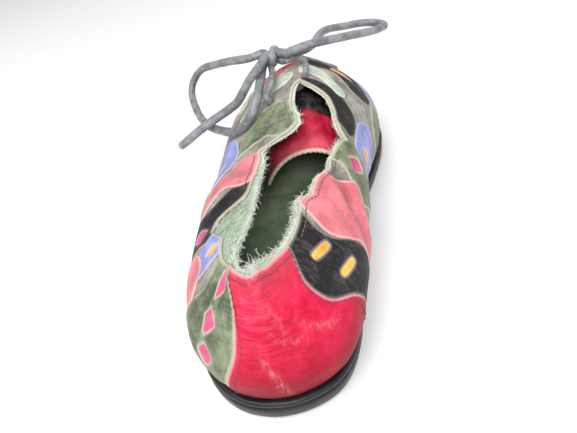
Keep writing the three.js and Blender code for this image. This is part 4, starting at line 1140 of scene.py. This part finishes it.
def fringe():
    paths, radii = [], []
    spans = [  # from, to, standing, lying, longest, lean inwards, edge
        (488, 562, 430, 560, 3.3, 0.9, lining_top_medial),
        (456, 488, 80, 130, 1.4, 0.6, lining_top_medial),
        (430, 456, 60, 90, 1.2, 0.5, lining_top_medial),
        (0, 22, 60, 120, 1.3, 0.6, lining_top_lateral),
        (22, 99, 260, 440, 1.9, 0.4, lining_top_lateral),
        (99, 136, 60, 110, 1.2, 0.5, lining_top_lateral),
    ]
    for lo, hi, standing, lying, long, lean, edge in spans:
        us = RNG.uniform(lo, hi, standing + lying)
        pp, uu, tt, nn = frames(us, [edge(u) for u in us])
        for k, (p, du, dt, n) in enumerate(zip(pp, uu, tt, nn)):
            start = p - n * RNG.uniform(1.05, 1.95) - dt * RNG.uniform(-0.1, 0.7)
            if k < standing:
                d = dt * RNG.uniform(0.3, 1.0) - n * RNG.uniform(-0.3, lean) + du * RNG.normal(0, 0.6)
                paths.append(wander(start, d, long * RNG.uniform(0.25, 1.0), 6, 0.34))
            else:
                d = du * RNG.choice([-1.0, 1.0]) + dt * RNG.normal(0.1, 0.25) + n * RNG.normal(0, 0.2)
                paths.append(wander(start, d, RNG.uniform(1.4, 4.0), 6, 0.26, 0.04))
            radii.append((RNG.uniform(0.09, 0.17), 0.05))
    # a pulled clump near the back of the medial edge
    us = RNG.uniform(536, 556, 60)
    for p, du, dt, n in zip(*frames(us, [lining_top_medial(u) for u in us])):
        d = dt * 0.5 - n * 1.0 + du * RNG.normal(0, 0.5)
        paths.append(wander(p - n * 1.5 - dt * 0.4, d, RNG.uniform(4.0, 8.5), 9, 0.42, 0.08))
        radii.append((0.13, 0.07))
    # threads that lie on the bared lining
    us = RNG.uniform(24, 98, 520)
    ts = np.array([RNG.uniform(float(worn_l(u)) + 0.02, float(collar_l(u)) + 0.02) for u in us])
    for u, t, p, du, dt, n in zip(us, ts, *frames(us, ts)):
        if (float(collar_l(u)) - float(worn_l(u))) * 70 < 2:
            continue
        a = RNG.uniform(0, 2 * math.pi)
        path = wander(p - n * 0.95, du * math.cos(a) + dt * math.sin(a), RNG.uniform(1.0, 3.2), 6, 0.3, 0.0)
        s = np.linspace(0, math.pi, len(path))[:, None]
        off = (path - path[0]) @ n
        paths.append(path - off[:, None] * n + n * np.sin(s) * RNG.uniform(0.1, 0.55))
        radii.append((0.12, 0.06))
    v, f = strand_mesh(paths, radii)
    tint = np.repeat(RNG.uniform(0, 1, len(paths)), [len(p) * 3 for p in paths])
    return make_object("frayed_threads", v, f, {"tint": tint})


threads = fringe()


def thread_material():
    m = Nodes("frayed_thread")
    col = m.mix(m.attr("tint"), (0.6, 0.71, 0.57), (0.95, 0.96, 0.9))
    col = m.mix(m.math("MULTIPLY", m.noise(900, 2), 0.25), col, (0.4, 0.52, 0.41))
    return m.finish(col, 0.85, m.bump(m.noise(3000, 2), 0.0002, 0.4), Sheen_Weight=0.25, Specular_IOR_Level=0.25)


threads.data.materials.append(thread_material())
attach(threads, "root")

# ------------------------------------------------------------------ soles: rings round the feather line
HEEL_S = solve(lambda u: feather(u + 0.5)[1] - feather(u - 0.5)[1], 0, -12, 12)
TOE_S = solve(lambda u: feather(u + 0.5)[1] - feather(u - 0.5)[1], 0, AT["toe lat 2"], AT["toe med 1"])


def paired(n):
    y0, y1, out = feather(HEEL_S)[1], feather(TOE_S)[1], []
    for i in range(1, n):
        y = y0 + (y1 - y0) * (0.5 - 0.5 * math.cos(math.pi * i / n))
        out.append((solve(lambda u: feather(u)[1], y, HEEL_S, TOE_S), solve(lambda u: feather(u)[1], y, TOE_S, GIRTH + HEEL_S)))
    return out


PAIRS = paired(300)
LOOP = np.array([HEEL_S] + [p[0] for p in PAIRS] + [TOE_S] + [p[1] for p in PAIRS][::-1])


def sole_bottom(y):
    y = np.asarray(y, float)
    waist = ARCH_LIFT * np.sin(np.pi * (y - 50) / 95) ** 2
    spring = TOE_SPRING * ((y - 190) / (LAST_LENGTH + 8 - 190)) ** 2
    return np.where((y > 50) & (y < 145), waist, np.where(y > 190, spring, 0.0))


def plate_rings(rings, cross_low, cross_high, cap_low, cap_high):
    """rings from bottom to top, each (offset, z function of y); caps are grids with a height function of x, y, offset"""
    f, nrm, n = feather(LOOP), outward(LOOP), len(LOOP)
    verts, faces = [], []
    for off, z in rings:
        xy = f + nrm * off
        verts.append(np.column_stack([xy, z(xy[:, 1], xy[:, 0])]))
    V = np.vstack(verts)
    R = len(rings)
    ids = np.arange(n * R).reshape(R, n)
    ids = np.hstack([ids, ids[:, :1]])
    faces += grid_faces(ids)
    m = len(PAIRS)
    edge = np.zeros(len(V))
    for row, cap, flip, cross in ((0, cap_low, False, cross_low), (R - 1, cap_high, True, cross_high)):
        if cap is None:
            continue
        base, a, b = row * n, V[row * n + 1: row * n + 1 + m], V[row * n + n - 1: row * n + m + 1: -1]
        s = np.linspace(0, 1, cross + 1)[1:-1]
        inner = a[:, None, :] * (1 - s[None, :, None]) + b[:, None, :] * s[None, :, None]
        wide = np.linalg.norm(a - b, axis=1)[:, None]
        ring_d = np.minimum(s, 1 - s)[None, :] * wide
        y_end = np.minimum(inner[..., 1] - V[row * n][1], V[row * n + m + 1][1] - inner[..., 1])
        depth = np.minimum(ring_d, y_end * 0.9)
        inner[..., 2] = cap(inner[..., 0], inner[..., 1], depth)
        start = len(V)
        V = np.vstack([V, inner.reshape(-1, 3)])
        edge = np.concatenate([edge, depth.ravel()])
        g = np.zeros((m, cross + 1), int)
        g[:, 0], g[:, -1] = base + 1 + np.arange(m), base + n - 1 - np.arange(m)
        g[:, 1:-1] = start + np.arange(m * (cross - 1)).reshape(m, cross - 1)
        q = np.stack([g[:-1, :-1], g[1:, :-1], g[1:, 1:], g[:-1, 1:]], -1).reshape(-1, 4)
        t = [[base, g[0, k], g[0, k + 1]] for k in range(cross)] + [[base + m + 1, g[-1, k + 1], g[-1, k]] for k in range(cross)]
        t = np.array(t)
        faces += [q[:, ::-1], t[:, ::-1]] if flip else [q, t]
    return V, fix_winding(V, faces), edge


def tread(x, y, depth):
    """fine wavy bars under heel and ball, in a smooth border"""
    z = sole_bottom(y)
    zone = smooth(depth, 5.5, 6.5) * np.maximum(smooth(y, 9, 11) * (1 - smooth(y, 58, 61)), smooth(y, 108, 111) * (1 - smooth(y, 236, 238)))
    phase = (y + 1.6 * np.sin(x / 5.0)) / 6.6
    bar = np.abs((phase % 1.0) - 0.5) * 2
    groove = smooth(bar, 0.56, 0.88)
    border = smooth(depth, 4.6, 5.2) * (1 - smooth(depth, 5.6, 6.2))
    ring = border * np.maximum((y < 61) * 1.0, (y > 108) * 1.0)
    return z + 1.1 * np.maximum(groove * zone, 0.8 * ring)


def between(f):
    return lambda y, x: sole_bottom(y) + (sole_top(y) - sole_bottom(y)) * f


def below_top(d):
    return lambda y, x: sole_top(y) - d


def above_floor(d):
    return lambda y, x: sole_bottom(y) + d


rings = [
    (SOLE_MARGIN - 2.3, above_floor(0.0)), (SOLE_MARGIN - 1.5, above_floor(0.08)), (SOLE_MARGIN - 0.9, above_floor(0.4)),
    (SOLE_MARGIN - 0.5, above_floor(0.95)), (SOLE_MARGIN - 0.25, above_floor(1.7)), (SOLE_MARGIN - 0.1, between(0.32)),
    (SOLE_MARGIN, between(0.42)), (SOLE_MARGIN - 0.02, below_top(4.4)), (SOLE_MARGIN - 0.25, below_top(3.75)), (SOLE_MARGIN - 0.75, below_top(3.35)),
    (SOLE_MARGIN - 0.95, below_top(3.05)), (SOLE_MARGIN - 0.95, below_top(2.75)), (SOLE_MARGIN - 0.7, below_top(2.45)), (SOLE_MARGIN - 0.2, below_top(2.15)),
    (SOLE_MARGIN + 0.02, below_top(1.7)), (SOLE_MARGIN + 0.05, below_top(1.15)), (SOLE_MARGIN - 0.1, below_top(0.6)), (SOLE_MARGIN - 0.45, below_top(0.2)),
    (SOLE_MARGIN - 1.0, below_top(0.02)), (SOLE_MARGIN - 2.2, below_top(0.0)), (-1.5, below_top(0.0)),
]
V, F, E = plate_rings(rings, 132, 8, tread, lambda x, y, d: sole_top(y) + 0 * x)
# hand-worn unevenness of the rubber's side, a little
n_ = vertex_normals(V, F)
side_mask = (V[:, 2] > sole_bottom(V[:, 1]) + 0.9) & (np.arange(len(V)) < len(LOOP) * 18)
V = V + n_ * (0.12 * noise(V, 22, 31, 2) * side_mask)[:, None]
outsole = make_object("outsole_rubber", V, F, {"up": V[:, 2] - sole_bottom(V[:, 1])})


def rubber_material():
    m = Nodes("black_rubber")
    big, fine_n = m.noise(90, 3, 0.6), m.noise(1800, 2, 0.5)
    col = m.mix(m.ramp(big, 0.35, 0.7), (0.005, 0.005, 0.008), (0.014, 0.014, 0.02))
    dust = m.math("MULTIPLY", m.ramp(m.noise(500, 3, 0.7), 0.56, 0.75), m.ramp(m.attr("up"), 3.0, 0.4, 0.1, 0.7))
    col = m.mix(m.math("MULTIPLY", dust, 0.4), col, (0.2, 0.18, 0.16))
    scratch = m.noise(260, 4, 0.7, vector=m.vmath("MULTIPLY", m.coord, (1.0, 1.0, 6.0)))
    rough = m.ramp(scratch, 0.35, 0.7, 0.32, 0.52)
    normal = m.bump(m.math("ADD", m.math("MULTIPLY", fine_n, 0.5), m.math("MULTIPLY", scratch, 0.5)), 0.00018, 0.5)
    return m.finish(col, rough, normal, Specular_IOR_Level=0.4, Coat_Weight=0.06, Coat_Roughness=0.3)


outsole.data.materials.append(rubber_material())
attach(outsole, "root")
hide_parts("outsole")

INSET = -WALL - 1.3


def footbed(x, y, depth):
    top = sole_top(y) + GAP + INSOLE_THICK
    dish = 0.75 * smooth(depth, 1.5, 16)
    heel = 0.5 * np.exp(-(((y - 34) / 22) ** 2) - ((x - 0) / 16) ** 2)
    ball = 0.45 * np.exp(-(((y - 172) / 26) ** 2) - ((x - 2) / 24) ** 2)
    bump_ = 0.12 * noise(np.column_stack([x.ravel(), y.ravel(), 0 * x.ravel()]), 26, 41, 2).reshape(x.shape)
    return top + 0.35 - dish - heel - ball + bump_ * smooth(depth, 0, 3)


lift = sole_top
rings = [
    (INSET, lambda y, x: sole_top(y) + GAP), (INSET + 0.15, lambda y, x: sole_top(y) + GAP + 0.8),
    (INSET + 0.1, lambda y, x: sole_top(y) + GAP + 1.9), (INSET - 0.1, lambda y, x: sole_top(y) + GAP + 2.5),
    (INSET - 0.5, lambda y, x: sole_top(y) + GAP + 2.85), (INSET - 1.0, lambda y, x: sole_top(y) + GAP + INSOLE_THICK + 0.36),
]
V, F, E = plate_rings(rings, 8, 84, lambda x, y, d: sole_top(y) + GAP + 0 * x, footbed)
insole = make_object("insole_sock", V, F, {"rim": E}, {"plan": V})


def insole_material():
    m = Nodes("green_sock")
    big, mid = m.noise(55, 3, 0.6), m.noise(320, 3, 0.6)
    col = m.mix(m.ramp(big, 0.35, 0.66), (0.21, 0.3, 0.18), (0.35, 0.46, 0.29))
    col = m.mix(m.math("MULTIPLY", m.ramp(mid, 0.5, 0.7), 0.25), col, (0.44, 0.52, 0.38))
    rubbed = m.math("MULTIPLY", m.ramp(m.attr("rim"), 6.0, 16.0), m.ramp(big, 0.4, 0.6, 0.2, 0.7))
    col = m.mix(m.math("MULTIPLY", rubbed, 0.3), col, (0.4, 0.44, 0.32))
    grain = m.math("ADD", m.math("MULTIPLY", m.voronoi(900), 0.5), m.math("MULTIPLY", m.noise(2200, 2), 0.5))
    normal = m.bump(grain, 0.00025, 0.5)
    normal = m.bump(m.noise(150, 2), 0.0008, 0.3, normal)
    return m.finish(col, m.ramp(mid, 0.3, 0.7, 0.62, 0.8), normal, Specular_IOR_Level=0.35)


insole.data.materials.append(insole_material())
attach(insole, "root")
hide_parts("insole")

# ------------------------------------------------------------------ tongue
t_y = [r[0] for r in TONGUE]
tongue_rows = [Spline(t_y, [r[k] for r in TONGUE]) for k in (1, 2, 3, 4)]


def tongue_mid(y, w):
    side = np.where(w < 0, 1.0, 0.84)
    x = tongue_rows[0](y) + w * tongue_rows[2](y) * side * (1 - 0.12 * w * w)
    z = tongue_rows[1](y) - tongue_rows[3](y) * np.abs(w) ** 2.1
    return np.stack([x, y, z], -1)


ny, nw = 64, 84
yy, ww = np.meshgrid(np.linspace(0, 1, ny + 1), np.linspace(-1, 1, nw + 1), indexing="ij")
Y = t_y[0] + (t_y[-1] - t_y[0]) * yy
width_mm = 1.0 / 27.0
teeth = 0.55 * (1 - np.abs(((ww * 27 / 2.6) % 1.0) * 2 - 1))  # pinked edge
Y = Y - (1 - smooth(yy, 0, 0.06)) * (teeth - 0.2)
TP = tongue_mid(Y.ravel(), ww.ravel())
ids = np.arange(len(TP)).reshape(ny + 1, nw + 1)
TF = grid_faces(ids)
TF = [TF[0][:, ::-1], TF[1][:, ::-1]]
TN = vertex_normals(TP, TF)
if TN[:, 2].mean() < 0:
    TF = [f[:, ::-1] for f in TF]
    TN = -TN
dd = np.zeros(len(TP))
txy = TP[:, :2]
for line, width, tall in [
    ([(-4, 100), (0, 118), (2, 136)], 3.0, -0.5), ([(12, 100), (11, 118), (9, 140)], 2.6, 0.45), ([(22, 104), (18, 120), (14, 138)], 2.6, -0.45),
    ([(-12, 110), (4, 116), (24, 113)], 3.2, -0.35), ([(-10, 124), (6, 128), (22, 125)], 2.6, 0.3)]:
    d, w = polyline_distance(txy, round_line(line))
    dd += tall * np.exp(-((d / width) ** 2)) * np.sin(np.pi * np.clip(w * 0.9 + 0.05, 0, 1))
dd += 0.16 * noise(TP, 14, 51, 2)
edge_mm = np.minimum(yy.ravel() * (t_y[-1] - t_y[0]), (1 - np.abs(ww.ravel())) * 24)
TB = TP + TN * (dd * smooth(edge_mm, 0, 4))[:, None]
V, F, stands = thick_sheet(TB, TF, vertex_normals(TB, TF), TONGUE_THICK / 2, -TONGUE_THICK / 2, bulge=0.3)
rim = np.arange(len(V)) >= 2 * len(TB)
under = np.zeros(len(V))
under[len(TB):2 * len(TB)] = 1
# share of the tongue's front, under the flaps, that gets a painted shadow
front = smooth(TP[:, 1] + 2.5 * noise(TP, 12, 53, 2) + 0.12 * np.abs(TP[:, 0] - 8), 125, 129.5)
tongue = make_object("tongue_leather", V, F, {"edge": np.where(rim, 0.0, edge_mm[stands]), "under": under, "front": front[stands]})


def tongue_material():
    m = Nodes("tongue_red")
    big, mid, speck = m.noise(70, 3, 0.6), m.noise(300, 3, 0.6), m.noise(1500, 2)
    col = m.mix(m.ramp(big, 0.35, 0.65), (0.44, 0.006, 0.032), (0.72, 0.02, 0.075))
    col = m.mix(m.math("MULTIPLY", m.ramp(mid, 0.52, 0.7), 0.3), col, (0.75, 0.09, 0.14))
    col = m.mix(m.math("MULTIPLY", m.ramp(m.attr("edge"), 11.0, 1.5), m.ramp(big, 0.3, 0.7, 0.25, 0.5)), col, (0.86, 0.2, 0.25))
    # painted shadow: the tongue's front is coloured near-black
    painted_shadow = m.mix(m.ramp(mid, 0.4, 0.65), (0.012, 0.01, 0.012), (0.06, 0.045, 0.05))
    col = m.mix(m.attr("front"), col, painted_shadow)
    pale = m.math("MULTIPLY", m.ramp(m.attr("edge"), 1.7, 0.5), m.ramp(speck, 0.3, 0.55, 0.55, 1.0))
    pale = m.math("MULTIPLY", pale, m.ramp(m.attr("front"), 1.0, 0.0))
    col = m.mix(m.math("MULTIPLY", pale, 0.8), col, (0.82, 0.5, 0.42))
    core = m.ramp(m.attr("edge"), 0.45, 0.05)
    col = m.mix(m.math("MULTIPLY", core, 0.8), col, (0.72, 0.62, 0.45))
    col = m.mix(m.math("MULTIPLY", m.attr("under"), 0.85), col, (0.3, 0.12, 0.11))
    normal = m.bump(m.math("ADD", m.math("MULTIPLY", m.voronoi(1250), 0.6), m.math("MULTIPLY", m.noise(2600, 2), 0.4)), 0.0002, 0.5)
    normal = m.bump(m.noise(240, 3, 0.6), 0.0006, 0.35, normal)
    return m.finish(col, m.ramp(mid, 0.3, 0.7, 0.4, 0.54), normal, Specular_IOR_Level=0.42)


tongue.data.materials.append(tongue_material())
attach(tongue, "root")
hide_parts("tongue")


# ------------------------------------------------------------------ lace
def centripetal(points, per=14):
    p = np.asarray(points, float)
    p = np.vstack([2 * p[0] - p[1], p, 2 * p[-1] - p[-2]])
    out = []
    for i in range(1, len(p) - 2):
        p0, p1, p2, p3 = p[i - 1], p[i], p[i + 1], p[i + 2]
        t0 = 0.0
        t1 = t0 + max(np.linalg.norm(p1 - p0), 1e-4) ** 0.5
        t2 = t1 + max(np.linalg.norm(p2 - p1), 1e-4) ** 0.5
        t3 = t2 + max(np.linalg.norm(p3 - p2), 1e-4) ** 0.5
        for t in np.linspace(t1, t2, per, endpoint=False):
            a1 = (t1 - t) / (t1 - t0) * p0 + (t - t0) / (t1 - t0) * p1
            a2 = (t2 - t) / (t2 - t1) * p1 + (t - t1) / (t2 - t1) * p2
            a3 = (t3 - t) / (t3 - t2) * p2 + (t - t2) / (t3 - t2) * p3
            b1 = (t2 - t) / (t2 - t0) * a1 + (t - t0) / (t2 - t0) * a2
            b2 = (t3 - t) / (t3 - t1) * a2 + (t - t1) / (t3 - t1) * a3
            out.append((t2 - t) / (t2 - t1) * b1 + (t - t1) / (t2 - t1) * b2)
    out.append(p[-2])
    return np.array(out)


def even(line, step):
    s = np.concatenate([[0], np.cumsum(np.linalg.norm(np.diff(line, axis=0), axis=1))])
    at = np.linspace(0, s[-1], max(3, int(round(s[-1] / step)) + 1))
    return np.stack([np.interp(at, s, line[:, k]) for k in range(3)], 1)


def tube(line, radius, sides=16, round_start=0.0, round_end=0.0, seed=0, flat=0.94, close=False):
    """thong swept along the line with frames that don't twist; radius in mm, ends domed"""
    line = np.asarray(line, float)
    tan = np.gradient(line, axis=0)
    tan /= np.linalg.norm(tan, axis=1, keepdims=True)
    ref = np.array([0, 0, 1.0])
    n0 = ref - tan[0] * (ref @ tan[0])
    n0 /= np.linalg.norm(n0)
    normals = [n0]
    for k in range(1, len(line)):
        n1 = normals[-1] - tan[k] * (normals[-1] @ tan[k])
        normals.append(n1 / np.linalg.norm(n1))
    normals = np.array(normals)
    bin_ = np.cross(tan, normals)
    s = np.concatenate([[0], np.cumsum(np.linalg.norm(np.diff(line, axis=0), axis=1))])
    r = radius * (1 + 0.035 * noise(line, 11, 60 + seed, 2))
    if round_start:
        x = np.clip(s / round_start, 0, 1)
        r = r * np.sqrt(np.clip(1 - (1 - x) ** 2, 0.03, 1))
    if round_end:
        x = np.clip((s[-1] - s) / round_end, 0, 1)
        r = r * np.sqrt(np.clip(1 - (1 - x) ** 2, 0.03, 1))
    w = np.linspace(0, 2 * np.pi, sides, endpoint=False)
    ring = line[:, None] + r[:, None, None] * (normals[:, None] * np.sin(w)[None, :, None] * flat + bin_[:, None] * np.cos(w)[None, :, None] * (2 - flat))
    V = ring.reshape(-1, 3)
    ids = np.arange(len(V)).reshape(len(line), sides)
    ids = np.hstack([ids, ids[:, :1]])
    F = [grid_faces(ids)[0]]
    if close:
        V = np.vstack([V, line[:1], line[-1:]])
        a, b = len(V) - 2, len(V) - 1
        F.append(np.array([[a, ids[0, k], ids[0, k + 1]] for k in range(sides)]))
        F.append(np.array([[b, ids[-1, k + 1], ids[-1, k]] for k in range(sides)]))
    along = np.repeat(s, sides)
    if close:
        along = np.concatenate([along, [0, s[-1]]])
    return V, F, along


def lace_material():
    m = Nodes("lace_leather")
    big, mid = m.noise(160, 3, 0.6), m.noise(700, 3, 0.6)
    col = m.mix(m.ramp(big, 0.35, 0.65), (0.14, 0.148, 0.16), (0.27, 0.282, 0.3))
    col = m.mix(m.math("MULTIPLY", m.ramp(mid, 0.52, 0.7), 0.35), col, (0.48, 0.5, 0.52))
    col = m.mix(m.math("MULTIPLY", m.attr("tip"), 0.75), col, (0.6, 0.62, 0.6))
    grain = m.math("ADD", m.math("MULTIPLY", m.voronoi(1500), 0.6), m.math("MULTIPLY", m.noise(3000, 2), 0.4))
    normal = m.bump(grain, 0.00018, 0.6)
    normal = m.bump(m.noise(420, 3, 0.6), 0.0005, 0.4, normal)
    return m.finish(col, m.ramp(mid, 0.3, 0.7, 0.34, 0.5), normal, Specular_IOR_Level=0.5)


LACE_MAT = lace_material()


def lace_piece(name, points, node, radius, seed, start_round=0.0, end_round=0.0, tip=False):
    line = even(centripetal(points), 0.9)
    V, F, along = tube(line, radius, 16, start_round, end_round, seed, close=True)
    F = fix_winding(V, F)
    total = along.max()
    t = smooth(along, total - 3.0, total - 0.8) if tip else 0 * along
    o = make_object(name, V, F, {"tip": t})
    o.data.materials.append(LACE_MAT)
    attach(o, "root")
    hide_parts(node)
    return o, line


def row(points):
    return [tuple((np.asarray(p, float) - SHIFT) / 1000) for p in points]


R = LACE_WIDTH / 2
for name, points, node, far, seed, tip in (
    ("lace_loop_outer", LOOP_LATERAL, "lace_loop_lateral", "object", 1, False),
    ("lace_loop_inner", LOOP_MEDIAL, "lace_loop_medial", "object", 2, False),
    ("lace_end_outer", END_LATERAL, "lace_end_lateral", "bare", 3, True),
    ("lace_end_inner", END_MEDIAL, "lace_end_medial", "bare", 4, True),
):
    o, line = lace_piece(name, points, node, R, seed, 0.0, 1.6 if tip else 0.0, tip)
    row([line[0]])[0]
    row(line)

holes = []
for u, t in EYELETS:
    p, du, dt, n = (a[0] for a in frames(u, t))
    holes.append((p, n))
(hl, nl), (hm, nm) = holes
BAR = [
    (-9.5, 146.6, 74.6), (-8.4, 140.5, 73.2), (-8.4, 133, 71.2), hl + nl * 3.6, hl, hl - nl * (WALL + 2.4), (-2, 132, 65.2),
    hm - nm * (WALL + 2.6), hm, hm + nm * 3, (8.6, 143.6, 75.6), (6.2, 148.8, 75.9), (1.5, 151.3, 75.8), (-2.4, 148.6, 75.7)]
bar, _ = lace_piece("lace_crossing", BAR, "lace_bar", 1.5, 5)

# the knot: two strands that cross and a wrap over them
K = np.array(KNOT)


def knot_lines():
    under_a = [(-9.5, 146.6, 74.6), (-9.8, 149.0, 75.8), (-8.0, 151.6, 76.0), (-5.0, 153.4, 76.2), (-2.6, 154.6, 76.6), (-1.3, 154.7, 76.9)]
    under_b = [(-2.4, 148.6, 75.7), (-4.6, 150.4, 76.0), (-8.2, 152.4, 76.4), (-11.4, 153.8, 77.6), (-13.9, 153.9, 79.1)]
    over = [(-14.1, 148.3, 74.7), (-12.6, 149.2, 76.6), (-9.8, 150.4, 78.6), (-6.4, 150.6, 79.9), (-3.4, 149.8, 80.0), (-1.1, 149.3, 79.7)]
    wrap = []
    for k in range(23):
        w = math.radians(-150 + 300 * k / 22)
        wrap.append((K[0] - 0.4 + 0.9 * math.sin(w * 0.5), K[1] + 4.6 * math.sin(w), K[2] + 0.2 + 3.3 * math.cos(w)))
    back = [(-7.3, 157.5, 77.7), (-6.9, 155.2, 78.2), (-7.0, 152.8, 78.6), (-8.6, 150.4, 79.0), (-10.6, 148.2, 79.6), (-12.1, 146.5, 79.7)]
    for strand, cord in ((under_a, LOOP_MEDIAL[::-1]), (under_b, LOOP_LATERAL), (over, LOOP_MEDIAL), (back, END_LATERAL)):
        c = centripetal(cord, 30)
        strand.extend([tuple(c[9]), tuple(c[18])])  # each strand runs on inside its cord
    for strand, cord in ((over, LOOP_LATERAL[::-1]), (back, END_MEDIAL)):
        c = centripetal(cord, 30)
        strand[0:0] = [tuple(c[18]), tuple(c[9])]
    return [under_a, under_b, over, wrap, back]


vs, fs, count = [], [], 0
for k, pts in enumerate(knot_lines()):
    line = even(centripetal(pts), 0.6)
    V, F, _ = tube(line, 2.1 if k == 3 else 2.12, 16, 1.4, 1.4, 70 + k, close=True)
    F = fix_winding(V, F)
    vs.append(V)
    fs += [np.asarray(f) + count for f in F]
    count += len(V)
V = np.vstack(vs)
knot = make_object("lace_bow_knot", V, fs, {"tip": np.zeros(len(V))})
knot.data.materials.append(LACE_MAT)
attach(knot, "root")
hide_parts("lace_knot")


# ------------------------------------------------------------------ stitches
def stitch_line(points_uh, pitch, length, radius, lift=0.05):
    """capsules laid on the leather along a line of (station, height)"""
    uh = round_line(points_uh, n=10)
    world = []
    for a, h in uh:
        u = a % GIRTH
        t = float(share(np.array([u]), np.array([h]))[0])
        world.append(shell(np.array([u]), np.array([t]))[0])
    line = even(np.array(world), pitch)
    paths = []

    def on_leather(q):
        n = N2[np.linalg.norm(BASE - q, axis=1).argmin()]
        loc, _, _, _ = LEATHER_TREE.ray_cast(Vector((q + n * 5 - SHIFT) / 1000), Vector(-n), 0.009)
        return (None, n) if loc is None else (np.array(loc) * 1000 + SHIFT, n)

    for i in range(len(line) - 1):
        a, b = line[i], line[i + 1]
        d = (b - a) / np.linalg.norm(b - a)
        mid = (a + b) / 2
        seg = [mid + d * length * (k - 0.5) for k in (0.0, 0.3, 0.7, 1.0)]
        out = []
        for j, q in enumerate(seg):
            loc, nrm = on_leather(q)
            if loc is None:
                break
            out.append(loc + nrm * ((radius * 0.55 + lift) if j in (1, 2) else -radius * 0.5))
        if len(out) == 4:
            paths.append(np.array(out))
    return paths


def top_line(u0, u1, inset, worn, n=24):
    out = []
    for u in np.linspace(u0, u1, n):
        t = float(worn(u % GIRTH))
        out.append((u if u < GIRTH / 2 else u - GIRTH, float(height(np.array([u]), np.array([t]))[0]) - inset))
    return out


stitches = []
stitches += stitch_line(top_line(2, 19, 2.6, worn_l), 2.3, 1.7, 0.26)
stitches += stitch_line(top_line(526, 565, 2.6, leather_top_medial), 2.3, 1.7, 0.26)
red_edge = [(-48.6, 60), (-40.4, 50.6), (-33.6, 42.5), (-35.4, 31.6), (-44, 23), (-48.2, 12), (-47.0, 4)]
stitches += stitch_line([(a + 2.2, h) for a, h in red_edge], 2.3, 1.7, 0.24)
stitches += stitch_line([(17.6, 49.5), (9.8, 40.5), (6.4, 27), (9.8, 12), (11.4, 3)], 2.3, 1.7, 0.24)
dark_threads = len(stitches)
stitches += stitch_line(top_line(468, 516, 2.4, leather_top_medial, 40), 2.3, 1.7, 0.24)
stitches += stitch_line(top_line(84, 104, 2.4, worn_l, 14), 2.3, 1.7, 0.24)
stitches += stitch_line(top_line(116, 138, 2.6, worn_l, 16), 2.3, 1.7, 0.24)
v, f = strand_mesh(stitches, [(0.24, 0.24)] * len(stitches), sides=6)
colour = np.repeat(np.where(np.arange(len(stitches)) < dark_threads, 1.0, 0.0), 4 * 6)
stitch = make_object("stitches", v, f, {"red": colour})


def stitch_material():
    m = Nodes("stitch_thread")
    col = m.mix(m.attr("red"), (0.1, 0.085, 0.07), (0.2, 0.012, 0.03))
    twist = m.noise(2600, 2)
    return m.finish(m.mix(m.math("MULTIPLY", twist, 0.4), col, (0.4, 0.3, 0.28)), 0.75, m.bump(twist, 0.0002, 0.6))


stitch.data.materials.append(stitch_material())
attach(stitch, "root")

# ------------------------------------------------------------------ studio
bpy.ops.mesh.primitive_plane_add(size=6, location=(0, 0, 0))
floor = bpy.context.object
floor.name = "floor"
fm = Nodes("floor_pale")
floor.data.materials.append(fm.finish(fm.mix(fm.noise(3, 2), (0.9, 0.9, 0.9), (0.93, 0.93, 0.93)), 0.7, None, Specular_IOR_Level=0.2))

world = bpy.data.worlds.new("studio")
bpy.context.scene.world = world
world.use_nodes = True
world.node_tree.nodes["Background"].inputs[0].default_value = (1, 1, 1, 1)
world.node_tree.nodes["Background"].inputs[1].default_value = 0.56


def area(name, place, target, size, power, colour=(1, 1, 1)):
    light = bpy.data.lights.new(name, "AREA")
    light.shape, light.size, light.energy, light.color = "DISK", size, power, colour
    o = bpy.data.objects.new(name, light)
    bpy.context.scene.collection.objects.link(o)
    o.location = place
    o.rotation_mode = "QUATERNION"
    o.rotation_quaternion = (Vector(target) - Vector(place)).to_track_quat("-Z", "Y")
    return o


area("key", (-0.25, -0.35, 0.95), (0, 0, 0.03), 0.6, 5.6, (1.0, 0.99, 0.97))
area("front", (0.13, -0.78, 0.66), (0, -0.02, 0.02), 0.3, 4.2, (1.0, 1.0, 1.0))
area("fill", (0.75, 0.15, 0.6), (0, 0, 0.03), 0.8, 1.0, (0.97, 0.98, 1.0))
area("back", (0.0, 0.8, 0.6), (0, 0.05, 0.03), 0.7, 1.4)

scene = bpy.context.scene
scene.view_settings.view_transform = "Standard"
scene.view_settings.look = "None"
scene.view_settings.exposure = 0.0
scene.view_settings.gamma = 1.0
